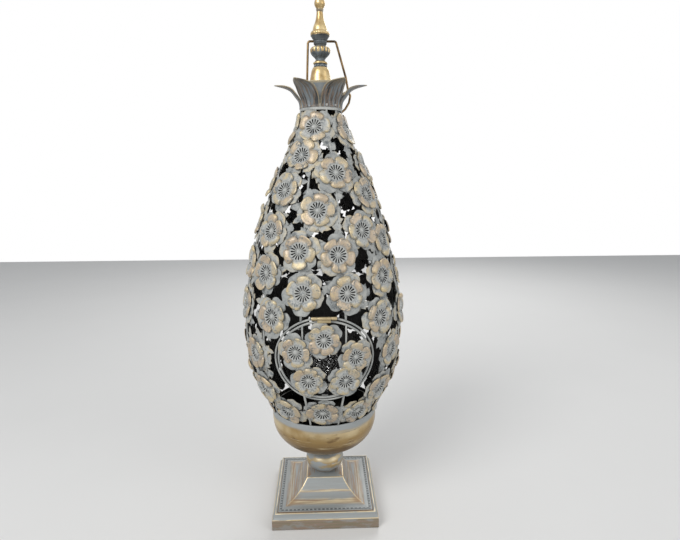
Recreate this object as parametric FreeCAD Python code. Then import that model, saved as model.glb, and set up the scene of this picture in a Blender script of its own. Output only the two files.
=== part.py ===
import FreeCAD, Part
import math
import os
from FreeCAD import Placement, Rotation, Vector

# Lantern lamp: a cage of welded blossoms on wire ribs stands in a cup on a square stepped foot,
# with a leaf crown, a wire bail and a turned finial on top, and a round hinged door in front.
# Millimetres. Origin: middle of the underside. +Z up, the door faces -Y.

# ---------------------------------------------------------------- driving dimensions
FOOT_HALF = 100.0            # half the side of the square plinth
FOOT_SKIRT_TOP = 21.0        # top of the upright skirt
FOOT_LIP_TOP = 30.8          # top of the sloped band above the skirt
FOOT_SHELF_Z = 31.0
FOOT_TOP = 66.0              # flat top of the hollow-sided pyramid
FOOT_TOP_HALF = 36.0
FOOT_WALL = 4.0
FELT_THICK = 1.5
COVER_THICK = 1.5
WEIGHT_HALF = 77.0
WEIGHT_THICK = 10.0
CABLE_HOLE_R = 6.0
CABLE_HOLE_Z = 11.0

TUBE_R = 5.0                 # threaded tube through foot, knop and cup
TUBE_BORE = 3.5
TUBE_FIT = 5.15              # clearance hole for that tube

NECK_RING_R = 21.5
NECK_RING_TOP = 69.5
KNOP_R = 37.3                # flattened ball under the cup
KNOP_Z = 91.0
KNOP_HALF_HEIGHT = 26.0
KNOP_TOP = 115.5

CUP_R = 101.4                # the cup: a superellipse in section
CUP_WIDE_Z = 192.0
CUP_DEPTH = 72.2
CUP_SQUARENESS = 2.31
CUP_RIM_Z = 210.0
CUP_WALL = 2.0
CUP_FOOT_R = 14.0

BAND_OUT = 98.2              # hoop of the cage that drops into the cup
BAND_IN = 95.2
BAND_LOW = 188.0
BAND_TOP = 204.0
STRAP_WIDE = 12.0

RIB_R = 2.0                  # wire of the cage ribs
RIB_COUNT = 12
RIB_FIRST = 15.0             # degrees from the front to the first rib
CAGE_OUTLINE = [             # height and rib radius, taken at the bends of the outline
    (187.0, 93.5), (211.0, 96.4), (240.0, 110.0), (290.0, 134.0), (350.0, 143.5),
    (400.0, 143.8), (450.0, 138.5), (510.0, 126.5), (570.0, 110.5), (630.0, 88.5),
    (690.0, 63.0), (735.0, 42.5), (762.0, 36.0)]

COLLAR_OUT = 37.5            # ring that closes the cage at the top
COLLAR_IN = 34.5
COLLAR_LOW = 762.0
COLLAR_TOP = 772.0

DOOR_X = 1.3                 # the door's middle, seen from the front
DOOR_Z = 349.0
DOOR_FRAME_WIDE = 82.7       # half width and half height of the fixed ring
DOOR_FRAME_HIGH = 74.5
DOOR_FRAME_R = 1.7
DOOR_WIRE_R = 1.9
DOOR_STEP = 5.6              # from the fixed ring's wire to the door's wire
DOOR_RIB_X = 36.0
DOOR_RIB_R = 1.5

HINGE_R = 3.0
HINGE_PIN_R = 1.5
HINGE_PIN_FIT = 1.55
HINGE_HALF = 21.0            # half the length of the hinge barrel
HINGE_KNUCKLE = 11.0         # half the length of the door's own knuckle
HINGE_GAP = 0.4

BLOOM_TOP_R = 28.5           # upper, cupped layer of a blossom
BLOOM_BACK_R = 33.0          # lower, flat layer
DOOR_BLOOM_SCALE = 0.9
UPPER_PETAL = [(-36, 0.42, 0.03), (-22, 0.9, 0.18), (0, 1.0, 0.25), (22, 0.9, 0.18)]
LOWER_PETAL = [(-36, 0.55, 0.0), (-21, 0.93, 0.0), (0, 1.0, 0.0), (21, 0.93, 0.0)]
BLOOM_THICK = 2.2            # of each layer, at its middle
BLOOM_LIFT = 1.8             # from the lower layer's back to the upper layer's
LEAF_THICK = 1.0
LEAF_LONG = 17.0

CROWN_ROWS = [               # radius, height and half angle of a crown petal, root to tip
    (36.6, 772.0, 28.8), (39.8, 779.0, 28.0), (46.8, 788.0, 25.5), (54.0, 797.0, 20.5),
    (63.5, 802.0, 13.5), (73.0, 804.5, 6.5)]
CROWN_TIP = (82.0, 806.5)
CROWN_FOLD = 2.0             # rise of a petal's side edges over its middle, beyond the root
CROWN_THICK = 1.4
CROWN_PETALS = 6
CROWN_FIRST = 28.0           # azimuth of one petal, from the front towards +X
CUPLET_RIM_Z = 809.5         # plain inner cup of the crown
CUPLET_LOW_R = 34.3          # its inner radius at the foot
CUPLET_RIM_R = 38.6

FINIAL_ROD_R = 3.0
FINIAL_BORE = 3.1
DOME_TOP = 836.0
COLLAR_BEAD_TOP = 845.5
LOW_NECK_TOP = 852.5
BALL_TOP = 870.5
HIGH_NECK_TOP = 880.5
FLANGE_CUP_TOP = 889.0
FLANGE_TOP = 896.5
VASE_TOP = 928.0
LAMP_TOP = 952.0
BALL_PROFILE = [             # radius and height over the lobes' crests
    (9.6, 852.5), (13.4, 855.6), (16.4, 859.4), (17.6, 863.6), (17.2, 867.2), (14.6, 869.6), (11.0, 870.5)]
BALL_LOBES = 14
LOBE_VALLEY = 0.88           # radius of a valley as a share of its crest

BAIL_R = 2.0
BAIL_PIVOT_Y = 24.0
BAIL_PIVOT_Z = 765.0
BAIL_HOLE_R = 2.1
BAIL_BEND = 4.0              # inner radius of its corners; the bar leans on the flange under the vase
BAIL_ROUTE = [               # corners of the wire from its left end to its right end
    (-33, 24, 765), (-16.6, 24, 765), (-23.8, 18.8, 790), (-24.0, 18.4, 822), (-21.5, 16.9, 884.3),
    (27.6, 16.9, 884.3), (45.8, 22.4, 824), (49.8, 26.4, 803.5), (54.0, 29.0, 794.5), (51.5, 28.0, 782),
    (44.5, 25.4, 770.5), (38.2, 24, 765), (21, 24, 765)]

HOLDER_R = 20.0
HOLDER_LOW = 194.0
HOLDER_TOP = 238.0
BULB_R = 30.0
BULB_CAP_R = 13.2
BULB_TOP = 320.0

# Blossoms that face the viewer: azimuth from the front towards +X, height, spin. Each lies
# where it is welded on the real cage, so no rule spaces them.
FRONT_BLOOMS = {
    "low": [(-72, 236, 20), (-36, 238, 8), (-1.5, 240, 0), (33, 235, 30), (69, 236, 10),
            (-87, 284, 0), (-50, 282, 40), (46, 283, 12), (84, 287, 30)],
    "wide": [(-92, 350, 30), (-55.5, 345, 18), (54.5, 349, 50), (90, 352, 0),
             (-70, 427, 0), (-36.5, 419, 24), (41, 414, 10), (74, 411, 44)],
    "shoulder": [(-13.5, 462, 36), (16.5, 461, 12), (-45, 489, 20), (48, 482, 0),
                 (-73, 500, 50), (83, 479, 20), (-18, 528, 6), (11.5, 523, 30)],
    "high": [(-47, 558, 12), (35, 560, 40), (61, 541, 8), (-82, 572, 30),
             (-4, 594, 36), (-42, 625, 10), (52, 618, 24)],
    "top": [(17, 654, 36), (-30, 684, 0), (76, 665, 20), (-84, 640, 14), (-15, 731, 30), (67, 729, 10)],
}
# Blossoms of the unseen back, in even rows: height, first azimuth, last azimuth, how many.
BACK_BLOOMS = {
    "low": [(236, 106, 252, 5), (284, 124, 236, 4)],
    "wide": [(350, 121, 237, 5), (416, 106, 254, 6)],
    "shoulder": [(483, 118, 250, 5)],
    "high": [(548, 99, 241, 5), (612, 96, 232, 4)],
    "top": [(672, 130, 226, 3), (731, 139, 275, 3)],
}
DOOR_BLOOMS = [(0.2, 386, 36), (-18.5, 364, 10), (21.5, 353, 0), (-10.5, 314, 30), (14.8, 312, 20)]
# Leaves at the front and, turned half round, at the back: azimuth, height, spin.
LEAVES = [(-72, 460, 0), (2, 492, 20), (64, 446, 40), (30, 505, 10), (-30, 590, 0), (22, 606, 30),
          (-66, 605, 50), (-58, 390, 10), (72, 380, 0), (33, 262, 60), (63, 590, 0)]


# ---------------------------------------------------------------- small helpers
def save(node, *solids):
    """Write one node; several solids become one compound."""
    shape = solids[0] if len(solids) == 1 else Part.makeCompound(list(solids))
    shape.exportStep("parts/%s.step" % node)
    good = all(s.isValid() and s.Volume > 0 for s in solids)
    print("%-24s solids %3d  volume %9.0f  %s" % (node, len(solids), shape.Volume, "ok" if good else "BAD"))


def ring_points(radius, count, first=0.0):
    return [Vector(radius * math.cos(first + 2 * math.pi * k / count),
                   radius * math.sin(first + 2 * math.pi * k / count), 0) for k in range(count)]


def spun(shape, degrees, about=Vector(0, 0, 0), axis=Vector(0, 0, 1)):
    copy = shape.copy()
    copy.rotate(about, axis, degrees)
    return copy


def lathe(points):
    """Solid of revolution with straight sides between the given (radius, height) points."""
    wire = Part.makePolygon([Vector(r, 0, z) for r, z in points + points[:1]])
    return Part.Face(wire).revolve(Vector(0, 0, 0), Vector(0, 0, 1), 360)


def tube(outer, inner, low, high):
    return lathe([(inner, low), (outer, low), (outer, high), (inner, high)])


def solid_of(faces):
    """Closed solid from faces that meet edge to edge."""
    shell = Part.makeShell(faces)
    shell.sewShape()
    solid = Part.makeSolid(shell)
    if solid.Volume < 0:
        solid.reverse()
    return solid


def square_loft(levels):
    """Four-sided body with mitred corners through squares given as (half side, height)."""
    squares = [[Vector(sx * half, sy * half, z) for sx, sy in ((-1, -1), (1, -1), (1, 1), (-1, 1))]
               for half, z in levels]
    loops = [squares[0], squares[-1]]
    for below, above in zip(squares, squares[1:]):
        for k in range(4):
            loops.append([below[k], below[(k + 1) % 4], above[(k + 1) % 4], above[k]])
    faces = [Part.Face(Part.makePolygon(loop + loop[:1])) for loop in loops]
    return solid_of(faces)


def polygon_prism(points, height):
    face = Part.Face(Part.makePolygon(points + points[:1]))
    return face.extrude(Vector(0, 0, height))


def hex_nut(across, low, high, bore):
    body = polygon_prism([p + Vector(0, 0, low) for p in ring_points(across / math.sqrt(3), 6)], high - low)
    return body.cut(Part.makeCylinder(bore, high - low + 2, Vector(0, 0, low - 1)))


def bent_wire(points, radius):
    """Eight-sided bar along straight runs, mitred at every bend."""
    runs = [(b - a).normalize() for a, b in zip(points, points[1:])]
    upright = Rotation(Vector(0, 0, 1), runs[0])
    ends = [[points[0] + upright.multVec(p) for p in ring_points(radius, 8)]]
    for k, run in enumerate(runs):
        across = run if k == len(runs) - 1 else (run + runs[k + 1]).normalize()
        ends.append([p + run * ((points[k + 1] - p).dot(across) / run.dot(across)) for p in ends[-1]])
    loops = [ends[0], ends[-1]]
    for below, above in zip(ends, ends[1:]):
        loops += [[below[k - 1], below[k], above[k], above[k - 1]] for k in range(8)]
    return solid_of([Part.Face(Part.makePolygon(loop + loop[:1])) for loop in loops])


def eased(points, bend):
    """The same route with each corner turned into a short bend."""
    route = [points[0]]
    for before, corner, after in zip(points, points[1:], points[2:]):
        to_before = (before - corner).normalize()
        to_after = (after - corner).normalize()
        half_turn = (math.pi - to_before.getAngle(to_after)) / 2
        setback = bend * math.tan(half_turn)
        inward = (to_before + to_after).normalize()
        depth = bend / math.cos(half_turn) - bend
        route += [corner + to_before * setback, corner + inward * depth, corner + to_after * setback]
    return route + [points[-1]]


# ---------------------------------------------------------------- the outline of the cage
def cage_radius(z):
    """Rib radius at a height: a smooth cubic through the outline's points."""
    pts = CAGE_OUTLINE
    z = min(max(z, pts[0][0]), pts[-1][0])
    k = max(i for i in range(len(pts) - 1) if pts[i][0] <= z)

    def slope(i):
        a, b = pts[max(i - 1, 0)], pts[min(i + 1, len(pts) - 1)]
        return (b[1] - a[1]) / (b[0] - a[0])

    (z0, r0), (z1, r1) = pts[k], pts[k + 1]
    step = z1 - z0
    t = (z - z0) / step
    return ((2 * t ** 3 - 3 * t ** 2 + 1) * r0 + (t ** 3 - 2 * t ** 2 + t) * step * slope(k)
            + (3 * t ** 2 - 2 * t ** 3) * r1 + (t ** 3 - t ** 2) * step * slope(k + 1))


def cage_point(azimuth, z, out=0.0):
    """Point on the cage at an azimuth from the front, pushed out sideways by a distance."""
    angle = math.radians(azimuth)
    r = cage_radius(z) + out
    return Vector(r * math.sin(angle), -r * math.cos(angle), z)


def cage_normal(azimuth, z):
    lean = math.atan2(cage_radius(z - 5) - cage_radius(z + 5), 10.0)
    angle = math.radians(azimuth)
    return Vector(math.sin(angle) * math.cos(lean), -math.cos(angle) * math.cos(lean), math.sin(lean))


def front_point(x, z):
    """Point on the front of the cage, straight ahead of a place seen from the front."""
    return Vector(x, -math.sqrt(cage_radius(z) ** 2 - x ** 2), z)


# ---------------------------------------------------------------- foot
def hollow_side(steps, inset, top_half, top_z):
    """Levels of the concave pyramid: a quadratic curve from the shelf to the flat top."""
    start, pull, end = (76.5 - inset, FOOT_SHELF_Z + 1 - inset), (50 - inset, 38 - inset), (top_half, top_z)
    levels = []
    for k in range(steps + 1):
        t = k / steps
        levels.append(tuple((1 - t) ** 2 * a + 2 * t * (1 - t) * b + t ** 2 * c
                            for a, b, c in zip(start, pull, end)))
    return levels


def make_foot():
    lip = FOOT_LIP_TOP
    outside = square_loft(
        [(FOOT_HALF - 1, 1.0), (FOOT_HALF, 2.0), (FOOT_HALF, FOOT_SKIRT_TOP - 1.2),
         (FOOT_HALF - 0.6, FOOT_SKIRT_TOP), (FOOT_HALF - 2, FOOT_SKIRT_TOP + 0.6),
         (FOOT_HALF - 3.8, FOOT_SKIRT_TOP + 3), (FOOT_HALF - 5.2, FOOT_SKIRT_TOP + 6.5),
         (FOOT_HALF - 5.9, lip - 0.6), (FOOT_HALF - 6.6, lip), (FOOT_HALF - 8.2, lip),
         (FOOT_HALF - 9.0, lip - 1.4), (FOOT_HALF - 10.4, lip - 1.4), (FOOT_HALF - 11, FOOT_SHELF_Z),
         (FOOT_HALF - 21, FOOT_SHELF_Z + 0.2)]
        + hollow_side(6, 0.0, FOOT_TOP_HALF, FOOT_TOP - 0.6) + [(FOOT_TOP_HALF - 0.8, FOOT_TOP)])
    ceiling = FOOT_SHELF_Z - FOOT_WALL
    cavity = square_loft(
        [(FOOT_HALF - FOOT_WALL, 0.0), (FOOT_HALF - FOOT_WALL, FOOT_SKIRT_TOP - 3),
         (FOOT_HALF - FOOT_WALL - 6, ceiling), (FOOT_HALF - 28, ceiling + 0.5)]
        + hollow_side(3, FOOT_WALL, FOOT_TOP_HALF - FOOT_WALL, FOOT_TOP - FOOT_WALL)[1:])
    foot = outside.cut(cavity)
    foot = foot.cut(Part.makeCylinder(TUBE_FIT, 20, Vector(0, 0, FOOT_TOP - 12)))
    hole = Part.makeCylinder(CABLE_HOLE_R, 12, Vector(0, FOOT_HALF - 8, CABLE_HOLE_Z), Vector(0, 1, 0))
    foot = foot.cut(hole)
    save("foot", foot)

    square = square_loft([(FOOT_HALF - FOOT_WALL - 0.3, FELT_THICK),
                          (FOOT_HALF - FOOT_WALL - 0.3, FELT_THICK + COVER_THICK)])
    save("foot_cover", square)
    save("felt_pad", square_loft([(FOOT_HALF - 6, 0.0), (FOOT_HALF - 6, FELT_THICK)]))

    weight = square_loft([(WEIGHT_HALF, WEIGHT_Z), (WEIGHT_HALF, WEIGHT_Z + WEIGHT_THICK)])
    save("foot_weight", weight.cut(Part.makeCylinder(TUBE_FIT, 30, Vector(0, 0, WEIGHT_Z - 5))))
    save("tube_nut_low", hex_nut(17, WEIGHT_Z - 6, WEIGHT_Z, TUBE_R + 0.02))

    inside = FOOT_HALF - FOOT_WALL
    grommet = lathe([(3.2, -1.8), (7, -1.8), (7, 0), (CABLE_HOLE_R - 0.1, 0),
                     (CABLE_HOLE_R - 0.1, FOOT_WALL + 1), (3.2, FOOT_WALL + 1)])
    grommet.rotate(Vector(0, 0, 0), Vector(1, 0, 0), -90)
    grommet.translate(Vector(0, inside, CABLE_HOLE_Z))
    save("cable_grommet", grommet)


# ---------------------------------------------------------------- stem and cup
def make_stem():
    save("centre_tube", tube(TUBE_R, TUBE_BORE, WEIGHT_Z - 9, 200.0))
    low, high = FOOT_TOP, NECK_RING_TOP
    save("neck_ring", lathe([(TUBE_FIT, low), (NECK_RING_R - 1, low), (NECK_RING_R, low + 1.2),
                             (NECK_RING_R, high - 1.2), (NECK_RING_R - 1, high), (TUBE_FIT, high)]))

    def knop_radius(z):
        return KNOP_R * math.sqrt(max(0.0, 1 - ((z - KNOP_Z) / KNOP_HALF_HEIGHT) ** 2))

    heights = [NECK_RING_TOP, 74, 81, KNOP_Z, 101, 109, KNOP_TOP]
    side = [(knop_radius(z), z) for z in heights]
    save("ball_knop", lathe([(TUBE_FIT, NECK_RING_TOP)] + side + [(TUBE_FIT, KNOP_TOP)]))


def cup_side(inset, steps):
    """Points of the cup's section from near the axis to its widest height."""
    points = []
    for degrees in steps:
        along, up = math.sin(math.radians(degrees)), max(math.cos(math.radians(degrees)), 0)
        points.append((along ** (2 / CUP_SQUARENESS) * (CUP_R - inset),
                       CUP_WIDE_Z - up ** (2 / CUP_SQUARENESS) * (CUP_DEPTH - inset)))
    return points


def make_cup():
    out = cup_side(0.0, (10, 30, 48, 63, 77, 90))
    inner = cup_side(CUP_WALL, (10, 35, 63, 90))
    rim = CUP_RIM_Z
    cup = lathe([(TUBE_FIT, KNOP_TOP), (CUP_FOOT_R, KNOP_TOP)] + out + [(CUP_R, rim - 1), (CUP_R - 1, rim),
                (CUP_R - CUP_WALL, rim - 1)] + inner[::-1] + [(TUBE_FIT, inner[0][1])])
    save("cup", cup)
    floor = inner[0][1]
    save("cup_nut", hex_nut(17, floor, floor + 6, TUBE_R + 0.02))


# ---------------------------------------------------------------- cage frame
def rib_line(azimuth, low, high, runs):
    heights = [low + (high - low) * k / runs for k in range(runs + 1)]
    if low < CUP_RIM_Z:
        heights = [low] + [CUP_RIM_Z + 2 + (high - CUP_RIM_Z - 2) * k / runs for k in range(runs + 1)]
    return [cage_point(azimuth, z) for z in heights]


def ring_on_cage(wide, high, radius):
    """Closed ring of wire in short mitred runs that follow the cage's curved front."""
    count = 24
    turns = [2 * math.pi * (k + 0.5) / count for k in range(count)]
    points = [front_point(DOOR_X + wide * math.sin(a), DOOR_Z + high * math.cos(a)) for a in turns]
    half = count // 2
    top, bottom = (points[0] + points[-1]) * 0.5, (points[half - 1] + points[half]) * 0.5
    right = bent_wire([top] + points[:half] + [bottom], radius)
    left = bent_wire([bottom] + points[half:] + [top], radius)
    return right.fuse(left)


def make_cage_frame():
    save("cage_band", tube(BAND_OUT, BAND_IN, BAND_LOW, BAND_TOP))
    strap = Part.makeBox(2 * BAND_OUT - 2, STRAP_WIDE, 2, Vector(1 - BAND_OUT, -STRAP_WIDE / 2, BAND_LOW - 2))
    cross = strap.fuse(spun(strap, 90)).fuse(Part.makeCylinder(16, 2, Vector(0, 0, BAND_LOW - 2)))
    cross = cross.cut(Part.makeCylinder(TUBE_FIT, 10, Vector(0, 0, BAND_LOW - 5)))
    save("foot_cross", cross.removeSplitter())
    save("cross_nut", hex_nut(17, BAND_LOW, BAND_LOW + 6, TUBE_R + 0.02))

    share = math.sqrt(1 - ((cage_point(RIB_FIRST, DOOR_Z).x - DOOR_X) / DOOR_FRAME_WIDE) ** 2)
    ribs = []
    for k in range(RIB_COUNT):
        azimuth = RIB_FIRST + k * 360 / RIB_COUNT
        if k in (0, RIB_COUNT - 1):
            below, above = DOOR_Z - DOOR_FRAME_HIGH * share, DOOR_Z + DOOR_FRAME_HIGH * share
            ribs.append(bent_wire(rib_line(azimuth, BAND_LOW + 2, below, 2), RIB_R))
            ribs.append(bent_wire(rib_line(azimuth, above, COLLAR_LOW, 6), RIB_R))
        else:
            ribs.append(bent_wire(rib_line(azimuth, BAND_LOW + 2, COLLAR_LOW, 9), RIB_R))
    save("cage_ribs", *ribs)

    collar = tube(COLLAR_OUT, COLLAR_IN, COLLAR_LOW, COLLAR_TOP)
    pivot = Part.makeCylinder(BAIL_HOLE_R, 100, Vector(-50, BAIL_PIVOT_Y, BAIL_PIVOT_Z), Vector(1, 0, 0))
    save("top_collar", collar.cut(pivot))
    strap = Part.makeBox(2 * COLLAR_IN - 0.6, 12, 3, Vector(0.3 - COLLAR_IN, -6, COLLAR_TOP - 3))
    cross = strap.fuse(spun(strap, 90)).cut(Part.makeCylinder(FINIAL_BORE, 10, Vector(0, 0, COLLAR_TOP - 6)))
    save("top_cross", cross.removeSplitter())


# ---------------------------------------------------------------- blossoms
def fanned(rim, middle_low, middle_high):
    """Sheet beaten thin towards its rim: both faces fan out from a middle point."""
    faces = []
    for z in (middle_low, middle_high):
        middle = Vector(0, 0, z)
        for a, b in zip(rim, rim[1:] + rim[:1]):
            faces.append(Part.Face(Part.makePolygon([a, b, middle, a])))
    return solid_of(faces)


def bloom_layer(radius, petal):
    """Five petals in one sheet. A petal's points are degrees from its middle, share of the
    radius, and rise as a share of the radius."""
    rim = []
    for k in range(5):
        for turn, share, rise in petal:
            angle = math.radians(72 * k + turn)
            rim.append(Vector(share * math.cos(angle), share * math.sin(angle), rise) * radius)
    return fanned(rim, 0, BLOOM_THICK)


def rib_distance(azimuth):
    """Degrees from an azimuth to the nearest rib."""
    step = 360 / RIB_COUNT
    offset = (azimuth - RIB_FIRST) % step
    return min(offset, step - offset)


def seat(azimuth, z, spin, carrier_r, nearest):
    """Placement that lays a blossom's back on the wire nearest to it."""
    centre = cage_point(azimuth, z)
    normal = cage_normal(azimuth, z)
    sink = (cage_radius(z) + carrier_r) * (1 - math.cos(math.radians(nearest)))
    base = centre + normal * (carrier_r - sink)
    upright = Rotation(Vector(0, 0, 1), normal)
    return Placement(base, upright.multiply(Rotation(Vector(0, 0, 1), spin)))


def laid(shape, placement):
    copy = shape.copy()
    copy.Placement = placement.multiply(copy.Placement)
    return copy


def make_blooms():
    upper = bloom_layer(BLOOM_TOP_R, UPPER_PETAL)
    lower = bloom_layer(BLOOM_BACK_R, LOWER_PETAL)
    lift = Placement(Vector(0, 0, BLOOM_LIFT), Rotation(Vector(0, 0, 1), 36))
    for zone in FRONT_BLOOMS:
        spots = list(FRONT_BLOOMS[zone])
        for z, first, last, count in BACK_BLOOMS[zone]:
            spots += [(first + (last - first) * k / (count - 1), z, 24 * k) for k in range(count)]
        seats = [seat(azimuth, z, spin, RIB_R, rib_distance(azimuth)) for azimuth, z, spin in spots]
        save("bloom_backs_" + zone, *[laid(lower, at) for at in seats])
        save("bloom_tops_" + zone, *[laid(upper, at.multiply(lift)) for at in seats])
    small_upper = bloom_layer(BLOOM_TOP_R * DOOR_BLOOM_SCALE, UPPER_PETAL)
    small_lower = bloom_layer(BLOOM_BACK_R * DOOR_BLOOM_SCALE, LOWER_PETAL)
    door_seats = []
    for azimuth, z, spin in DOOR_BLOOMS:
        beside = math.degrees(math.asin((DOOR_RIB_X + DOOR_X) / cage_radius(z)))
        door_seats.append(seat(azimuth, z, spin, DOOR_RIB_R, min(abs(abs(azimuth) - beside), 9.0)))
    save("door_bloom_backs", *[laid(small_lower, at) for at in door_seats])
    save("door_bloom_tops", *[laid(small_upper, at.multiply(lift)) for at in door_seats])


def make_leaves():
    """Small toothed leaves that fill gaps between the blossoms."""
    half = [(-0.8, 0.14), (-0.25, 0.5), (0.05, 0.3), (0.35, 0.42)]
    rim = [Vector(u, v, 0) * LEAF_LONG for u, v in half] + [Vector(LEAF_LONG, 0, 0)]
    rim += [Vector(u, -v, 0) * LEAF_LONG for u, v in reversed(half)]
    leaf = fanned(rim, 0, LEAF_THICK)
    leaves = []
    for azimuth, z, spin in LEAVES:
        for turn in (0, 180):
            nearest = rib_distance(azimuth + turn)
            leaves.append(laid(leaf, seat(azimuth + turn, z, spin, RIB_R, nearest)))
    save("gap_leaves", *leaves)


# ---------------------------------------------------------------- door
def make_door():
    save("door_frame_ring", ring_on_cage(DOOR_FRAME_WIDE, DOOR_FRAME_HIGH, DOOR_FRAME_R))
    wide, high = DOOR_FRAME_WIDE - DOOR_STEP, DOOR_FRAME_HIGH - DOOR_STEP
    save("door_ring", ring_on_cage(wide, high, DOOR_WIRE_R))
    ribs = []
    for side in (-1, 1):
        x = DOOR_X + side * DOOR_RIB_X
        reach = high * math.sqrt(1 - (DOOR_RIB_X / wide) ** 2)
        line = [front_point(x, DOOR_Z + reach * t) for t in (-1, -0.5, 0, 0.5, 1)]
        ribs.append(bent_wire(line, DOOR_RIB_R))
    save("door_ribs", *ribs)

    axis = Vector(1, 0, 0)

    def rod(radius, x0, x1):
        return Part.makeCylinder(radius, x1 - x0, Vector(x0, HINGE_Y, HINGE_Z), axis)

    left, right = DOOR_X - HINGE_HALF, DOOR_X + HINGE_HALF
    inner_left, inner_right = DOOR_X - HINGE_KNUCKLE, DOOR_X + HINGE_KNUCKLE
    pin = rod(HINGE_PIN_R, left - 1, right + 1)
    heads = rod(HINGE_PIN_R + 0.9, left - 2, left - 0.2).fuse(rod(HINGE_PIN_R + 0.9, right + 0.2, right + 2))
    save("hinge_pin", pin.fuse(heads).removeSplitter())
    bore = rod(HINGE_PIN_FIT, left - 5, right + 5)
    fixed = []
    for x0, x1 in ((left, inner_left - HINGE_GAP), (inner_right + HINGE_GAP, right)):
        web = Part.makeBox(x1 - x0, 3.2, 2.6, Vector(x0, HINGE_Y + 1.2, HINGE_Z - 1.3))
        fixed.append(rod(HINGE_R, x0, x1).fuse(web).cut(bore).removeSplitter())
    save("hinge_knuckles_cage", *fixed)
    plate = Part.makeBox(inner_right - inner_left, 2.0, 7.6, Vector(inner_left, HINGE_Y + 0.9, HINGE_Z - 7.6))
    knuckle = rod(HINGE_R, inner_left, inner_right).fuse(plate).cut(bore)
    save("hinge_knuckle_door", knuckle.removeSplitter())

    foot_z = DOOR_Z - DOOR_FRAME_HIGH
    ring_y = front_point(DOOR_X, foot_z).y
    clip = Part.makeBox(11, 1.2, 15, Vector(DOOR_X - 5.5, ring_y + DOOR_WIRE_R + 0.6, foot_z - 7))
    tongue = Part.makeBox(11, 4.2, 1.2, Vector(DOOR_X - 5.5, ring_y - 2.4, foot_z - 7))
    save("door_catch", clip.fuse(tongue).removeSplitter())


# ---------------------------------------------------------------- crown
def crown_petal():
    """One leaf of the crown: rows of left, middle and right points that close in a curled tip."""
    def row(r, z, half, fold, shift):
        points = []
        for side in (-1, 0, 1):
            angle = math.radians(half * side)
            points.append(Vector(r * math.sin(angle), -r * math.cos(angle), z + fold * abs(side)) + shift)
        return points

    def quads(below, above):
        loops = []
        for k in (0, 1):
            loops += [[below[k], below[k + 1], above[k + 1]], [below[k], above[k + 1], above[k]]]
        return loops

    sheets = []
    for inward in (0.0, CROWN_THICK):
        shift = Vector(0, inward, 0.5 * inward)
        rows = [row(*CROWN_ROWS[0], 0, Vector(0, inward, 0)), row(*CROWN_ROWS[1], 0, shift)]
        rows += [row(*level, CROWN_FOLD, shift) for level in CROWN_ROWS[2:]]
        sheets.append((rows, Vector(0, -CROWN_TIP[0], CROWN_TIP[1]) + shift))
    loops = []
    for rows, tip in sheets:
        for below, above in zip(rows, rows[1:]):
            loops += quads(below, above)
        loops += [[rows[-1][k], rows[-1][k + 1], tip] for k in (0, 1)]
    (outer, outer_tip), (inner, inner_tip) = sheets
    loops += quads(outer[0], inner[0])
    for side in (0, -1):
        edge = [points[side] for points in outer] + [outer_tip]
        back = [points[side] for points in inner] + [inner_tip]
        for k in range(len(edge) - 1):
            loops += [[edge[k], edge[k + 1], back[k + 1]], [edge[k], back[k + 1], back[k]]]
    return solid_of([Part.Face(Part.makePolygon(loop + loop[:1])) for loop in loops])


def make_crown():
    petal = crown_petal()
    save("crown_petals", *[spun(petal, CROWN_FIRST + 60 * k) for k in range(CROWN_PETALS)])
    low, rim, waist = CUPLET_LOW_R, CUPLET_RIM_Z, 789
    save("crown_cup", lathe([(low, COLLAR_TOP), (low + 0.9, COLLAR_TOP), (low + 1.4, waist),
                             (CUPLET_RIM_R, rim - 0.8), (CUPLET_RIM_R - 0.6, rim),
                             (CUPLET_RIM_R - 1.4, rim - 0.8), (low + 0.4, waist)]))


def make_bail():
    save("bail_handle", bent_wire(eased([Vector(*p) for p in BAIL_ROUTE], BAIL_BEND), BAIL_R))


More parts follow.
